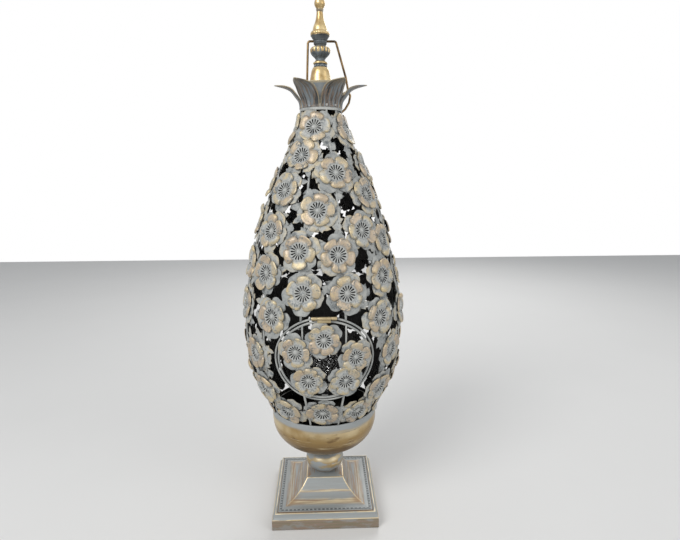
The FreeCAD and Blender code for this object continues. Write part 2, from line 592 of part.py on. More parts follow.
# ---------------------------------------------------------------- finial
def make_finial():
    bore = FINIAL_BORE
    save("finial_rod", Part.makeCylinder(FINIAL_ROD_R, LAMP_TOP - 12 - 762, Vector(0, 0, 762)))
    save("finial_nut", hex_nut(10, COLLAR_TOP - 8, COLLAR_TOP - 3, FINIAL_ROD_R + 0.02))
    top = DOME_TOP
    save("dome_cap", lathe([(22, COLLAR_TOP), (24, COLLAR_TOP), (24, 788), (18.2, 818), (16.2, 828.5),
                            (13.2, top), (bore, top), (bore, top - 4), (9, top - 4), (22, 787)]))
    save("beaded_collar", lathe([(bore, top), (12.7, top), (12.0, top + 3.4), (12.8, top + 7.4),
                                 (11.6, COLLAR_BEAD_TOP), (bore, COLLAR_BEAD_TOP)]))
    save("lower_neck", lathe([(bore, COLLAR_BEAD_TOP), (10.4, COLLAR_BEAD_TOP), (8.5, 848.8),
                              (9.6, LOW_NECK_TOP), (bore, LOW_NECK_TOP)]))
    wires = []
    for r, z in BALL_PROFILE:
        points = []
        for k in range(2 * BALL_LOBES):
            share = r * (1.0 if k % 2 else LOBE_VALLEY)
            angle = math.pi * k / BALL_LOBES
            points.append(Vector(share * math.cos(angle), share * math.sin(angle), z))
        wires.append(Part.makePolygon(points + points[:1]))
    ball = Part.makeLoft(wires, True, True)
    save("lobed_ball", ball.cut(Part.makeCylinder(bore, 40, Vector(0, 0, DOME_TOP))))
    save("upper_neck", lathe([(bore, BALL_TOP), (9.0, BALL_TOP), (9.2, 872.5), (11.6, 875.8), (11.6, 878.2),
                              (10.4, HIGH_NECK_TOP), (bore, HIGH_NECK_TOP)]))
    save("flange_cup", lathe([(bore, HIGH_NECK_TOP), (10.6, HIGH_NECK_TOP), (13.4, 884),
                              (15.8, FLANGE_CUP_TOP), (bore, FLANGE_CUP_TOP)]))
    vase = [(15.6, FLANGE_CUP_TOP), (16.7, 893), (12.8, FLANGE_TOP), (11.4, 903), (7.4, 915), (5.6, VASE_TOP)]
    save("finial_vase", lathe([(bore, FLANGE_CUP_TOP)] + vase + [(bore, VASE_TOP)]))
    knob = [(5.6, VASE_TOP), (8.7, 936.5), (9.3, 941.5), (7.4, 946.8), (3.6, 950.8), (0, LAMP_TOP)]
    save("finial_knob", lathe([(bore, VASE_TOP)] + knob + [(0, LAMP_TOP - 12), (bore, LAMP_TOP - 12)]))


# ---------------------------------------------------------------- lampholder and bulb
def make_light():
    low = HOLDER_LOW
    cap = lathe([(TUBE_R + 0.02, low), (13, low), (HOLDER_R - 1, low + 8), (HOLDER_R - 1, low + 14),
                 (HOLDER_R - 3, low + 14), (11, low + 3), (TUBE_R + 0.02, low + 3)])
    save("holder_cap", cap)
    save("holder_insert", lathe([(0, low + 8.5), (13, low + 8.5), (HOLDER_R - 3.1, low + 14), (0, low + 14)]))
    save("holder_shell", tube(HOLDER_R, 14.4, low + 14, HOLDER_TOP))
    glass_low = HOLDER_TOP + 2
    neck, thin = BULB_CAP_R, 1.0
    save("bulb_cap", lathe([(0, low + 14.2), (5, low + 14.2), (neck, low + 19), (neck, glass_low),
                            (0, glass_low)]))
    outside = [(neck, glass_low), (neck + 1.2, 252), (26, 274), (BULB_R, 291), (26, 307), (14, 317.5),
               (0, BULB_TOP)]
    inside = [(neck - thin, glass_low), (neck + 1.2 - thin, 252), (BULB_R - 1.2, 291), (0, BULB_TOP - thin)]
    save("bulb_glass", lathe(outside + inside[::-1]))


WEIGHT_Z = FOOT_SHELF_Z - FOOT_WALL - WEIGHT_THICK
HINGE_Z = DOOR_Z + DOOR_FRAME_HIGH
HINGE_Y = front_point(DOOR_X, HINGE_Z).y - DOOR_FRAME_R - HINGE_R - 0.5

os.makedirs("parts", exist_ok=True)
make_foot()
make_stem()
make_cup()
make_cage_frame()
make_blooms()
make_leaves()
make_door()
make_crown()
make_bail()
make_finial()
make_light()
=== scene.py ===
# %% [markdown]
# # The look of a lantern lamp
# The lamp is an egg-shaped cage of metal blossoms in a cup, on a ball and a stepped foot, with a leaf crown,
# a turned finial and a wire bail. Its solids are fixed already: they say where each piece sits and how it
# moves. This script puts finer pieces over them (turned forms, beaten petals, a beaded foot) and paints them
# with materials made of formulas. Lengths in the helpers are millimetres; the scene is in metres.
#

# %% Load the fixed frame
import math
import random

import bpy
import numpy as np
from mathutils import Matrix, Vector


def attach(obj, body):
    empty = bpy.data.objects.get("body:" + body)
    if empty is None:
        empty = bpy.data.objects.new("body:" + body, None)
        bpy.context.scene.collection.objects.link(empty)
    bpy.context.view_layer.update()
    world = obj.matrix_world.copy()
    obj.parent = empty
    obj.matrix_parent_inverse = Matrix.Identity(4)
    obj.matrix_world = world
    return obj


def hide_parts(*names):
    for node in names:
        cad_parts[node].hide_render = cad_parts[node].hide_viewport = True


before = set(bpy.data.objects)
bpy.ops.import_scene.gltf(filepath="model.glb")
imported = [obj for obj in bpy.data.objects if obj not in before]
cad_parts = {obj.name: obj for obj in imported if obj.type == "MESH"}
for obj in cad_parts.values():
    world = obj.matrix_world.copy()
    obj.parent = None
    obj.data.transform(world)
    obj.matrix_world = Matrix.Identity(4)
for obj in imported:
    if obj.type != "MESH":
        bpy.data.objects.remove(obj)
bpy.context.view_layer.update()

MM = 0.001
print("nodes in the frame:", len(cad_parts))

# %% [markdown]
# ## Driving dimensions
# The lamp stands at the origin, its door faces -Y and +Z is up. The sizes that several pieces share are
# written once here, so a change of one of them moves everything that depends on it. The cage is a list of
# heights and radii: a curve through a dozen points is enough for an outline with no corners.

# %% Dimensions, in millimetres
CAGE_OUTLINE = [(187, 93.5), (211, 96.4), (240, 110), (290, 134), (350, 143.5), (400, 143.8), (450, 138.5),
                (510, 126.5), (570, 110.5), (630, 88.5), (690, 63), (735, 42.5), (762, 36)]
RIB_R = 1.9
RIB_COUNT = 12
RIB_FIRST = 15.0
DOOR_X, DOOR_Z = 1.3, 349.0
DOOR_WIDE, DOOR_HIGH = 82.7, 74.5
DOOR_STEP = 5.6
DOOR_RIB_X = 36.0
HINGE_Y, HINGE_Z = -147.17, 423.5
CUP_R, CUP_RIM_Z = 101.4, 210.0
NECK_LOW, KNOP_LOW, KNOP_TOP = 66.0, 69.5, 115.5
TUBE_R = 5.2                           # bore for the centre tube
FOOT_HALF, FOOT_LIP_Z = 100.0, 30.8
BLOOM_BACK_R = 33.0                    # the solids' lower petal layer
PETALS = 5
ZONES = ("_low", "_wide", "_shoulder", "_high", "_top")
CROWN_FIRST, CROWN_PETALS = 28.0, 6
COLLAR_TOP, DOME_TOP, BEADS_TOP, NECK_TOP = 772.0, 836.0, 845.5, 852.5
BALL_TOP, UPPER_NECK_TOP, FLANGE_TOP, VASE_TOP, LAMP_TOP = 870.5, 880.5, 889.0, 928.0, 952.0
COLLAR_BEADS_Z = 839.4
print("cage radius from", min(r for _, r in CAGE_OUTLINE), "to", max(r for _, r in CAGE_OUTLINE), "mm")

# %% [markdown]
# ## A pile of small forms
# The real cage is stamped and welded from hundreds of small parts. One object for each of them would be slow
# and hard to read, so a `Pile` joins all that belong to one piece into one mesh. It also carries a colour
# attribute that the paint reads: red = place along the form (0 root, 1 tip), green = place across it (0.5 in
# the middle), blue = a tint for the whole form. So a brushed tip stays at the tip however the part is turned.


# %% A pile of forms
class Pile:
    """Many small forms joined into one mesh object."""

    def __init__(self):
        self.points, self.faces, self.marks = [], [], []
        self.count = 0

    def add(self, points, faces, marks=None):
        points = np.asarray(points, float)
        if marks is None:
            marks = np.tile([0.5, 1.0, 0.5, 1.0], (len(points), 1))
        self.points.append(points)
        self.marks.append(np.asarray(marks, float))
        self.faces += [[i + self.count for i in face] for face in faces]
        self.count += len(points)

    def make(self, name, material, body, replaced, slot):
        mesh = bpy.data.meshes.new(name)
        mesh.from_pydata((np.concatenate(self.points) * MM).tolist(), [], self.faces)
        mesh.validate()
        marks = mesh.attributes.new("marks", "FLOAT_COLOR", "POINT")
        marks.data.foreach_set("color", np.concatenate(self.marks).astype(np.float32).ravel())
        mesh.polygons.foreach_set("use_smooth", [True] * len(mesh.polygons))
        mesh.materials.append(material)
        obj = bpy.data.objects.new(name, mesh)
        bpy.context.scene.collection.objects.link(obj)
        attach(obj, body)
        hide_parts(*replaced)
        print(name, "faces:", len(mesh.polygons))
        return obj


# %% [markdown]
# ## Grids and curves
# Almost every form here is a grid of points: rows along it, columns round it. The curve helpers make the
# rows. `smooth_line` runs a soft curve through a few points, as a turner's template does. `rounded` keeps the
# straight runs and softens only their corners, since a spun or cast edge is never sharp and catches light.


# %% Grids and curves
def unit(vector):
    return vector / np.linalg.norm(vector)


def grid_faces(rows, cols, wrap=False):
    """Quads of a rows x cols grid of points; wrap joins the last column to the first."""
    faces = []
    for i in range(rows - 1):
        for j in range(cols if wrap else cols - 1):
            k = (j + 1) % cols
            faces.append([i * cols + j, i * cols + k, (i + 1) * cols + k, (i + 1) * cols + j])
    return faces


def smooth_line(points, per_step=6):
    """Catmull-Rom curve through points."""
    p = [np.array(q, float) for q in points]
    p = [2 * p[0] - p[1]] + p + [2 * p[-1] - p[-2]]
    out = []
    for a, b, c, d in zip(p, p[1:], p[2:], p[3:]):
        for k in range(per_step):
            t = k / per_step
            out.append(0.5 * (2 * b + (c - a) * t + (2 * a - 5 * b + 4 * c - d) * t ** 2
                              + (3 * b - a - 3 * c + d) * t ** 3))
    return np.array(out + [p[-2]])


def rounded(profile, radius=0.6, steps=3):
    """Profile of straight runs with every corner turned into a small curve."""
    pts = [np.array(p, float) for p in profile]
    out = [pts[0]]
    for a, b, c in zip(pts, pts[1:], pts[2:]):
        cut = min(radius, 0.45 * np.linalg.norm(b - a), 0.45 * np.linalg.norm(c - b))
        start = b + (a - b) / np.linalg.norm(a - b) * cut
        end = b + (c - b) / np.linalg.norm(c - b) * cut
        for k in range(steps + 1):
            t = k / steps
            out.append((1 - t) ** 2 * start + 2 * t * (1 - t) * b + t ** 2 * end)
    return np.array(out + [pts[-1]])


# %% [markdown]
# ## Turned forms
# The ball, the cup and the finial are turned or spun about the lamp's axis. A screw modifier would do for
# plain ones, but the finial has lobes as well, so `lathe` lets a small function change the radius as it goes
# round. It marks how far the surface lies below the plain turned one, and the finial's paint puts painted
# shade in such valleys.


# %% Turned forms
def lathe(pile, profile, segments=72, shape=None):
    """Turned form from (radius, height) points; shape(angle, radius, height) may change the radius."""
    profile = np.asarray(profile, float)
    angles = 2 * math.pi * np.arange(segments) / segments
    points, marks = [], []
    for k, (r, z) in enumerate(profile):
        for a in angles:
            rr = shape(a, r, z) if shape else r
            points.append((rr * math.cos(a), rr * math.sin(a), z))
            marks.append((k / (len(profile) - 1), rr / r, 0.5, 1))
    pile.add(points, grid_faces(len(profile), segments, wrap=True), marks)


# %% [markdown]
# ## Wire
# Ribs, door rings and bail are round wire. A bevelled curve object gives a tube too, but its mesh appears
# only when it is converted. Here a circle is carried along the path and kept from twisting, by dropping from
# its side direction whatever points along the path. `bent` turns the bail's corners about a true radius, as
# a bending jig does.


# %% Wire
def wire(pile, path, radius, sides=12, closed=False):
    """Round wire along a path of points."""
    path = np.asarray(path, float)
    n = len(path)
    ahead = np.roll(path, -1, 0) - np.roll(path, 1, 0)
    if not closed:
        ahead[0], ahead[-1] = path[1] - path[0], path[-1] - path[-2]
    ahead /= np.linalg.norm(ahead, axis=1)[:, None]
    side = unit(np.cross(ahead[0], [0.3, 0.2, 0.93]))
    points = []
    for k in range(n):
        side = unit(side - ahead[k] * (side @ ahead[k]))
        other = np.cross(ahead[k], side)
        for j in range(sides):
            a = 2 * math.pi * j / sides
            points.append(path[k] + radius * (math.cos(a) * side + math.sin(a) * other))
    faces = grid_faces(n, sides, wrap=True)
    if closed:
        last = (n - 1) * sides
        faces += [[last + j, last + (j + 1) % sides, (j + 1) % sides, j] for j in range(sides)]
    else:
        faces += [list(range(sides))[::-1], [(n - 1) * sides + j for j in range(sides)]]
    pile.add(points, faces)


def bent(route, bend, steps=6):
    """Straight runs whose corners turn round a circle of the given radius."""
    route = [np.array(p, float) for p in route]
    out = [route[0]]
    for before, corner, after in zip(route, route[1:], route[2:]):
        to_before, to_after = unit(before - corner), unit(after - corner)
        half_turn = (math.pi - math.acos(np.clip(to_before @ to_after, -1, 1))) / 2
        inward = to_before + to_after
        middle = corner + inward / np.linalg.norm(inward) * bend / math.cos(half_turn)
        start = corner + to_before * bend * math.tan(half_turn) - middle
        end = corner + to_after * bend * math.tan(half_turn) - middle
        for k in range(steps + 1):
            t = k / steps
            blend = math.sin((1 - t) * 2 * half_turn) * start + math.sin(t * 2 * half_turn) * end
            out.append(middle + blend / math.sin(2 * half_turn))
    return np.array(out + [route[-1]])


# %% [markdown]
# ## Beads
# Rows of cast beads run along the foot's shelf and round the collars. Each is half a ball, so only the half
# that shows is made: a few rings of points and one at the top. `beads_round` sets a row of them on a circle.


# %% Beads
def bead(pile, centre, normal, radius, squash=1.0, sides=10, rows=4):
    """Small round bead that sits on a surface."""
    normal = unit(np.array(normal, float))
    side = unit(np.cross(normal, [0.31, 0.53, 0.79]))
    other = np.cross(normal, side)
    points = []
    for i in range(rows):
        lift = 0.5 * math.pi * i / rows
        for j in range(sides):
            a = 2 * math.pi * j / sides
            flat = radius * math.cos(lift) * (math.cos(a) * side + math.sin(a) * other)
            points.append(centre + flat + normal * radius * squash * math.sin(lift))
    points.append(centre + normal * radius * squash)
    faces, top = grid_faces(rows, sides, wrap=True), (rows - 1) * sides
    faces += [[top + j, top + (j + 1) % sides, rows * sides] for j in range(sides)]
    pile.add(points, faces)


def beads_round(pile, count, circle, height, radius, **finer):
    for k in range(count):
        a = 2 * math.pi * k / count
        at = np.array([circle * math.cos(a), circle * math.sin(a), height])
        bead(pile, at, (math.cos(a), math.sin(a), 0), radius, **finer)


# %% [markdown]
# ## Paint as arithmetic
# The finish of the real lamp is several thin coats, some brushed on and some rubbed off again. As nodes that
# would be a large tangle. `Val` stands for a number in a material: adding or multiplying two of them adds a
# Math node, so a mask is written as a formula. `between` is the soft step that most masks are made of.


# %% Numbers in a material
class Val:
    """A number inside a material."""

    def __init__(self, paint, socket):
        self.paint, self.socket = paint, socket

    def math(self, operation, other=None):
        inputs = {0: self} if other is None else {0: self, 1: other}
        return self.paint.node("Math", {"operation": operation}, inputs)

    def __add__(self, other):
        return self.math("ADD", other)

    def __sub__(self, other):
        return self.math("SUBTRACT", other)

    def __mul__(self, other):
        return self.math("MULTIPLY", other)

    def __rsub__(self, other):
        return self * -1 + other

    __radd__, __rmul__ = __add__, __mul__

    def between(self, low, high):
        """0 below low, 1 above high, smooth in the middle (or the reverse, if low is above high)."""
        settings = {"interpolation_type": "SMOOTHSTEP"}
        if low < high:
            return self.paint.node("MapRange", settings, {"Value": self, "From Min": low, "From Max": high})
        return 1 - self.paint.node("MapRange", settings, {"Value": self, "From Min": high, "From Max": low})


# %% [markdown]
# ## One material
# `Paint` holds a material and its surface. Any node comes from one method, `node`, which sets what kind it is
# before it joins its inputs. Colours are blended by a Mix node, as a Math node would turn them grey. `inside`
# finds the side of a thin sheet that faces the lamp's axis: little light gets in there, and the paints put
# near-black painted shade on it.


# %% One material
class Paint:
    """One procedural material with a Principled surface."""

    def __init__(self, name, metallic=0.0, roughness=0.5, **fixed):
        self.material = bpy.data.materials.new(name)
        self.material.use_nodes = True
        self.tree = self.material.node_tree
        self.surface = self.tree.nodes["Principled BSDF"]
        fixed.update({"Metallic": metallic, "Roughness": roughness})
        for socket, value in fixed.items():
            self.surface.inputs[socket.replace("_", " ")].default_value = value

    def node(self, kind, settings=None, inputs=None, output=0):
        made = self.tree.nodes.new("ShaderNode" + kind)
        for key, value in (settings or {}).items():
            setattr(made, key, value)
        for key, value in (inputs or {}).items():
            if isinstance(value, Val):
                self.tree.links.new(value.socket, made.inputs[key])
            else:
                made.inputs[key].default_value = value
        return Val(self, made.outputs[output])

    def place(self):
        """Where a point is on the lamp, in metres."""
        return self.node("TexCoord", output="Object")

    def parts_of(self, vector):
        split = self.node("SeparateXYZ", inputs={"Vector": vector})
        return [Val(self, split.socket.node.outputs[k]) for k in range(3)]

    def height(self):
        """Height on the lamp, in millimetres."""
        return self.parts_of(self.place())[2] * 1000

    def inside(self):
        """1 where a surface faces the lamp's axis, 0 where it faces outwards; the mask for painted shade."""
        normal = self.node("TexCoord", output="Normal")
        flat = self.node("VectorMath", {"operation": "MULTIPLY"}, {0: self.place(), 1: (1, 1, 0)})
        away = self.node("VectorMath", {"operation": "NORMALIZE"}, {0: flat})
        facing = self.node("VectorMath", {"operation": "DOT_PRODUCT"}, {0: normal, 1: away}, output="Value")
        return facing.between(-0.05, -0.3)

    def marks(self):
        """The pile's own marks: along, across, tint."""
        read = self.node("Attribute", {"attribute_name": "marks"}, output="Color")
        split = self.node("SeparateColor", inputs={"Color": read})
        return [Val(self, split.socket.node.outputs[k]) for k in range(3)]

    def noise(self, scale, stretch=(1, 1, 1), detail=3.0, rough=0.5, vector=None):
        placed = self.node("Mapping", inputs={"Vector": vector or self.place(), "Scale": stretch})
        return self.node("TexNoise", inputs={"Vector": placed, "Scale": scale, "Detail": detail,
                                             "Roughness": rough})

    def mix(self, share, low, high):
        """Colour low where share is 0, high where it is 1."""
        return self.node("Mix", {"data_type": "RGBA"}, {0: share, 6: low, 7: high}, output=2)

    def set(self, socket, value):
        self.tree.links.new(value.socket, self.surface.inputs[socket])

    def bump(self, height, strength, distance):
        bumped = self.node("Bump", inputs={"Height": height, "Strength": strength, "Distance": distance})
        self.set("Normal", bumped)


def rgb(r, g, b):
    return (r, g, b, 1.0)


def made(paint):
    print(paint.name, "nodes:", len(paint.node_tree.nodes))
    return paint


# %% [markdown]
# ## Colours
# The base coat is a blue-grey antique paint. It is rubbed with champagne and gold where a dry brush would
# reach it, and brown is left in a groove of the foot. Near black and some brown are painted shade: inside the
# cage, in deep hollows and where pieces meet. Each colour has a name, so that the recipes below read like a
# painter's notes. The values are linear, which is what a shader works in.

# %% Colours, linear
GREY_LIGHT = rgb(0.45, 0.455, 0.43)
GREY_PALE = rgb(0.34, 0.355, 0.355)
GREY_SOFT = rgb(0.30, 0.31, 0.30)
GREY_BLUE = rgb(0.20, 0.225, 0.24)
GREY_DEEP = rgb(0.085, 0.095, 0.10)
CHAMPAGNE = rgb(0.50, 0.415, 0.26)
CHAMPAGNE_PINK = rgb(0.46, 0.36, 0.25)
GOLD_PALE = rgb(0.66, 0.52, 0.28)
BROWN = rgb(0.16, 0.095, 0.045)
GREY_DARK = rgb(0.045, 0.05, 0.052)
NEAR_BLACK = rgb(0.012, 0.011, 0.010)
BLUE_PALE = rgb(0.315, 0.335, 0.335)
CREAM = rgb(0.72, 0.60, 0.38)
GOLD_WARM = rgb(0.38, 0.255, 0.105)
GOLD_BROWN = rgb(0.19, 0.12, 0.06)
COPPER = rgb(0.33, 0.205, 0.115)
OLIVE = rgb(0.225, 0.19, 0.125)
REDDISH = rgb(0.28, 0.205, 0.155)
BRONZE_DARK = rgb(0.055, 0.032, 0.014)
BRONZE_LIGHT = rgb(0.30, 0.19, 0.08)

# %% [markdown]
# ## Paint of the upper petals
# Each upper petal has a pale grey heart that was left alone, and a champagne tip from a dry brush. How far
# the brush went differs from petal to petal. A picture of the paint would repeat on 83 blossoms, so two
# noises, one broad and one fine, break the edge of the brushed zone instead. Pale gold patches on the tips
# are rubbed gold and partly a painted highlight. The folds and the petals' roots get painted shade, and the
# side that faces into the cage is near-black painted shade.


# %% Upper petals' paint
def blossom_top_paint():
    """Champagne petals, pale grey heart, tips partly a painted highlight; painted shade in folds, roots,
    inside.
    """
    paint = Paint("blossom_champagne")
    along, across, tint = paint.marks()
    cloud = paint.noise(90, detail=4)
    fine = paint.noise(380, detail=3)
    edge = ((across - 0.5) * 2).math("ABSOLUTE")
    reach = along + (cloud - 0.5) * 0.9 + (tint - 0.5) * 0.45
    brushed = reach.between(0.5, 0.78) * along.between(0.47, 0.62)
    warm = paint.mix((tint + (cloud - 0.5)).between(0.3, 0.75), CHAMPAGNE, CHAMPAGNE_PINK)
    petal = paint.mix(brushed * 0.9, GREY_LIGHT, warm)
    # partly a painted highlight: pale gold rubbed on the brushed tips, a little more of it towards the rim
    rubbed = (cloud + (fine - 0.5) * 0.7 + (along - 0.85) * 0.35).between(0.52, 0.68) * brushed
    petal = paint.mix(rubbed * 0.55, petal, GOLD_PALE)
    # painted shade along the folds between the petals
    fold = edge.between(0.78, 0.98) * along.between(0.46, 0.56)
    petal = paint.mix(fold * 0.85, petal, GREY_DEEP)
    # painted shade round the petals' roots, next to the star
    foot = along.between(0.5, 0.53) * along.between(0.64, 0.55)
    petal = paint.mix(foot * 0.3, petal, GREY_DEEP)
    petal = paint.mix((fine - (cloud - 0.5) * 0.6).between(0.5, 0.68) * 0.6, petal, GREY_BLUE)
    petal = paint.mix((cloud - (fine - 0.5) * 0.5).between(0.42, 0.3) * 0.6, petal, GREY_DEEP)
    # painted shade: the side that faces into the cage is near black
    petal = paint.mix(paint.inside(), petal, NEAR_BLACK)
    paint.set("Base Color", petal)
    paint.set("Metallic", brushed * 0.3)
    paint.set("Roughness", 0.52 - brushed * 0.1 + (fine - 0.5) * 0.25)
    paint.bump(cloud * 0.6 + fine * 0.4, 0.8, 0.0013)
    return paint.material


TOP_PAINT = made(blossom_top_paint())


# %% [markdown]
# ## Paint of the lower petals and the leaves
# The layer behind is mostly bare grey, with champagne on a few tips and painted shade along its clefts. Its
# middle, under the slots, and its side that faces into the cage are near-black painted shade. The bump adds a
# shallow swell and a cast grain, so that flat sheet metal doesn't shine like a mirror.


# %% Lower petals' paint
def blossom_back_paint():
    """Pale grey lower petals, brushed with champagne near some tips; painted shade at clefts, middle and
    inside.
    """
    paint = Paint("blossom_grey")
    along, across, tint = paint.marks()
    cloud = paint.noise(60, detail=4)
    fine = paint.noise(360, detail=3)
    base = paint.mix((cloud + (tint - 0.5) * 0.3).between(0.3, 0.65), GREY_SOFT, GREY_LIGHT)
    brushed = (along + (cloud - 0.5) * 0.9).between(0.8, 1.05) * tint.between(0.35, 0.8)
    base = paint.mix(brushed * 0.75, base, CHAMPAGNE)
    base = paint.mix((fine - (cloud - 0.5) * 0.4).between(0.5, 0.68) * 0.55, base, GREY_BLUE)
    base = paint.mix((cloud - (fine - 0.5) * 0.5).between(0.4, 0.28) * 0.6, base, GREY_DEEP)
    edge = ((across - 0.5) * 2).math("ABSOLUTE")
    # painted shade along the petals' edges and clefts
    base = paint.mix(edge.between(0.82, 1.0) * 0.7, base, GREY_DEEP)
    # painted shade: the middle, under the upper layer's slots, is near black
    base = paint.mix(along.between(0.5, 0.44), base, NEAR_BLACK)
    # painted shade: the side that faces into the cage is near black
    base = paint.mix(paint.inside(), base, NEAR_BLACK)
    paint.set("Base Color", base)
    paint.set("Roughness", 0.6 + (fine - 0.5) * 0.25)
    paint.set("Metallic", brushed * 0.3)
    paint.bump((1 - edge * edge) * along * 0.7 + cloud * 0.6 + fine * 0.4, 0.8, 0.0013)
    return paint.material


BACK_PAINT = made(blossom_back_paint())


# %% [markdown]
# ## Paint of the cup
# Under a blue-grey band at the rim the cup is rubbed gold, with a painted highlight round its widest part,
# and brown towards the bottom. Its inside is near-black painted shade.
# The rubbing went round with the turning, so the noises are stretched: squeezed in height, they become long
# level streaks and scratches. A plain colour ramp by height would look printed; the streaks move its edges.


# %% Cup's paint
def cup_paint():
    """Gold below a pale blue-grey band with a painted highlight, brown lower down, fine scratches; painted
    shade inside.
    """
    paint = Paint("cup_paint")
    height = paint.height()
    cloud = paint.noise(16, detail=4)
    patch = paint.noise(34, stretch=(1, 1, 1.6), detail=4)
    streak = paint.noise(22, stretch=(0.5, 0.5, 7), detail=4, rough=0.6)
    scratch = paint.noise(60, stretch=(0.3, 0.3, 5), detail=2)
    fine = paint.noise(500, detail=2)
    level = height + (streak - 0.5) * 12 + (cloud - 0.5) * 8
    gold = level.between(201, 192)
    rubbed = paint.mix((height + (streak - 0.5) * 40).between(142, 184), GOLD_BROWN, GOLD_WARM)
    # painted highlight: a cream band round the cup's widest part
    painted_highlight = level.between(176, 188) * level.between(203, 192)
    rubbed = paint.mix(painted_highlight * cloud.between(0.3, 0.6) * 0.75, rubbed, CREAM)
    rubbed = paint.mix((cloud + (streak - 0.5) * 0.7).between(0.5, 0.66) * 0.3, rubbed, GOLD_PALE)
    stain = (patch + (streak - 0.5) * 0.8).between(0.54, 0.68) * level.between(150, 175)
    rubbed = paint.mix(stain * 0.7, rubbed, BROWN)
    worn = scratch.between(0.62, 0.72) * patch.between(0.4, 0.6)
    rubbed = paint.mix(worn * 0.8, rubbed, CREAM)
    under = paint.mix(cloud.between(0.3, 0.7), GREY_PALE, BLUE_PALE)
    under = paint.mix((patch - (streak - 0.5)).between(0.58, 0.7) * 0.4, under, CHAMPAGNE_PINK)
    colour = paint.mix(gold, under, rubbed)
    colour = paint.mix(fine.between(0.68, 0.8) * 0.2, colour, GREY_DEEP)
    # painted shade: the inside of the cup is near black
    colour = paint.mix(paint.inside(), colour, NEAR_BLACK)
    paint.set("Base Color", colour)
    paint.set("Metallic", gold * 0.7 + 0.05)
    paint.set("Roughness", 0.52 - gold * 0.2 + (patch - 0.5) * 0.25 + worn * 0.1)
    paint.bump(streak * 0.6 + scratch * 0.4, 0.1, 0.0005)
    return paint.material


CUP_PAINT = made(cup_paint())


# %% [markdown]
# ## Paint of the ball and the ring below it
# On the ball the blue-grey and the gold run into each other in soft clouds. One noise decides where the gold
# is, and a stretched one streaks it. Where the ball meets the ring below it, brown is painted as shade.


# %% Ball's paint
def knop_paint():
    """Blue-grey and gold rubbed together in soft clouds, with brown painted shade where the ball meets the
    ring.
    """
    paint = Paint("knop_paint")
    height = paint.height()
    cloud = paint.noise(26, stretch=(1, 1, 1.4), detail=4)
    streak = paint.noise(20, stretch=(0.5, 0.5, 6), detail=4)
    scratch = paint.noise(70, stretch=(0.4, 0.4, 4), detail=2)
    gold = (cloud + (streak - 0.5) * 0.8).between(0.47, 0.6) * height.between(72, 78)
    rubbed = paint.mix(streak.between(0.4, 0.65), GOLD_WARM, CHAMPAGNE)
    under = paint.mix(cloud.between(0.25, 0.5), GREY_BLUE, BLUE_PALE)
    colour = paint.mix(gold, under, rubbed)
    colour = paint.mix(scratch.between(0.6, 0.7) * 0.5, colour, CREAM)
    # painted shade: brown where the ball meets the ring
    colour = paint.mix(height.between(71.5, 69.0) * 0.55, colour, BROWN)
    paint.set("Base Color", colour)
    paint.set("Metallic", gold * 0.35 + 0.1)
    paint.set("Roughness", 0.42 - gold * 0.06 + (streak - 0.5) * 0.2)
    paint.bump(streak * 0.6 + scratch * 0.4, 0.1, 0.0005)
    return paint.material


KNOP_PAINT = made(knop_paint())


# %% [markdown]
# ## Paint of the foot
# A square foot is brushed along each of its sides, so the streaks have to turn by a right angle at every
# corner. `side` tells which pair of sides a point belongs to, and `along` is the distance along that side.
# The bands of gold follow one number, distance outwards less height, which rises steadily down the steps, so
# a band stays on its edge all the way round. The steep corners, or hips, are found where x and y are equal.


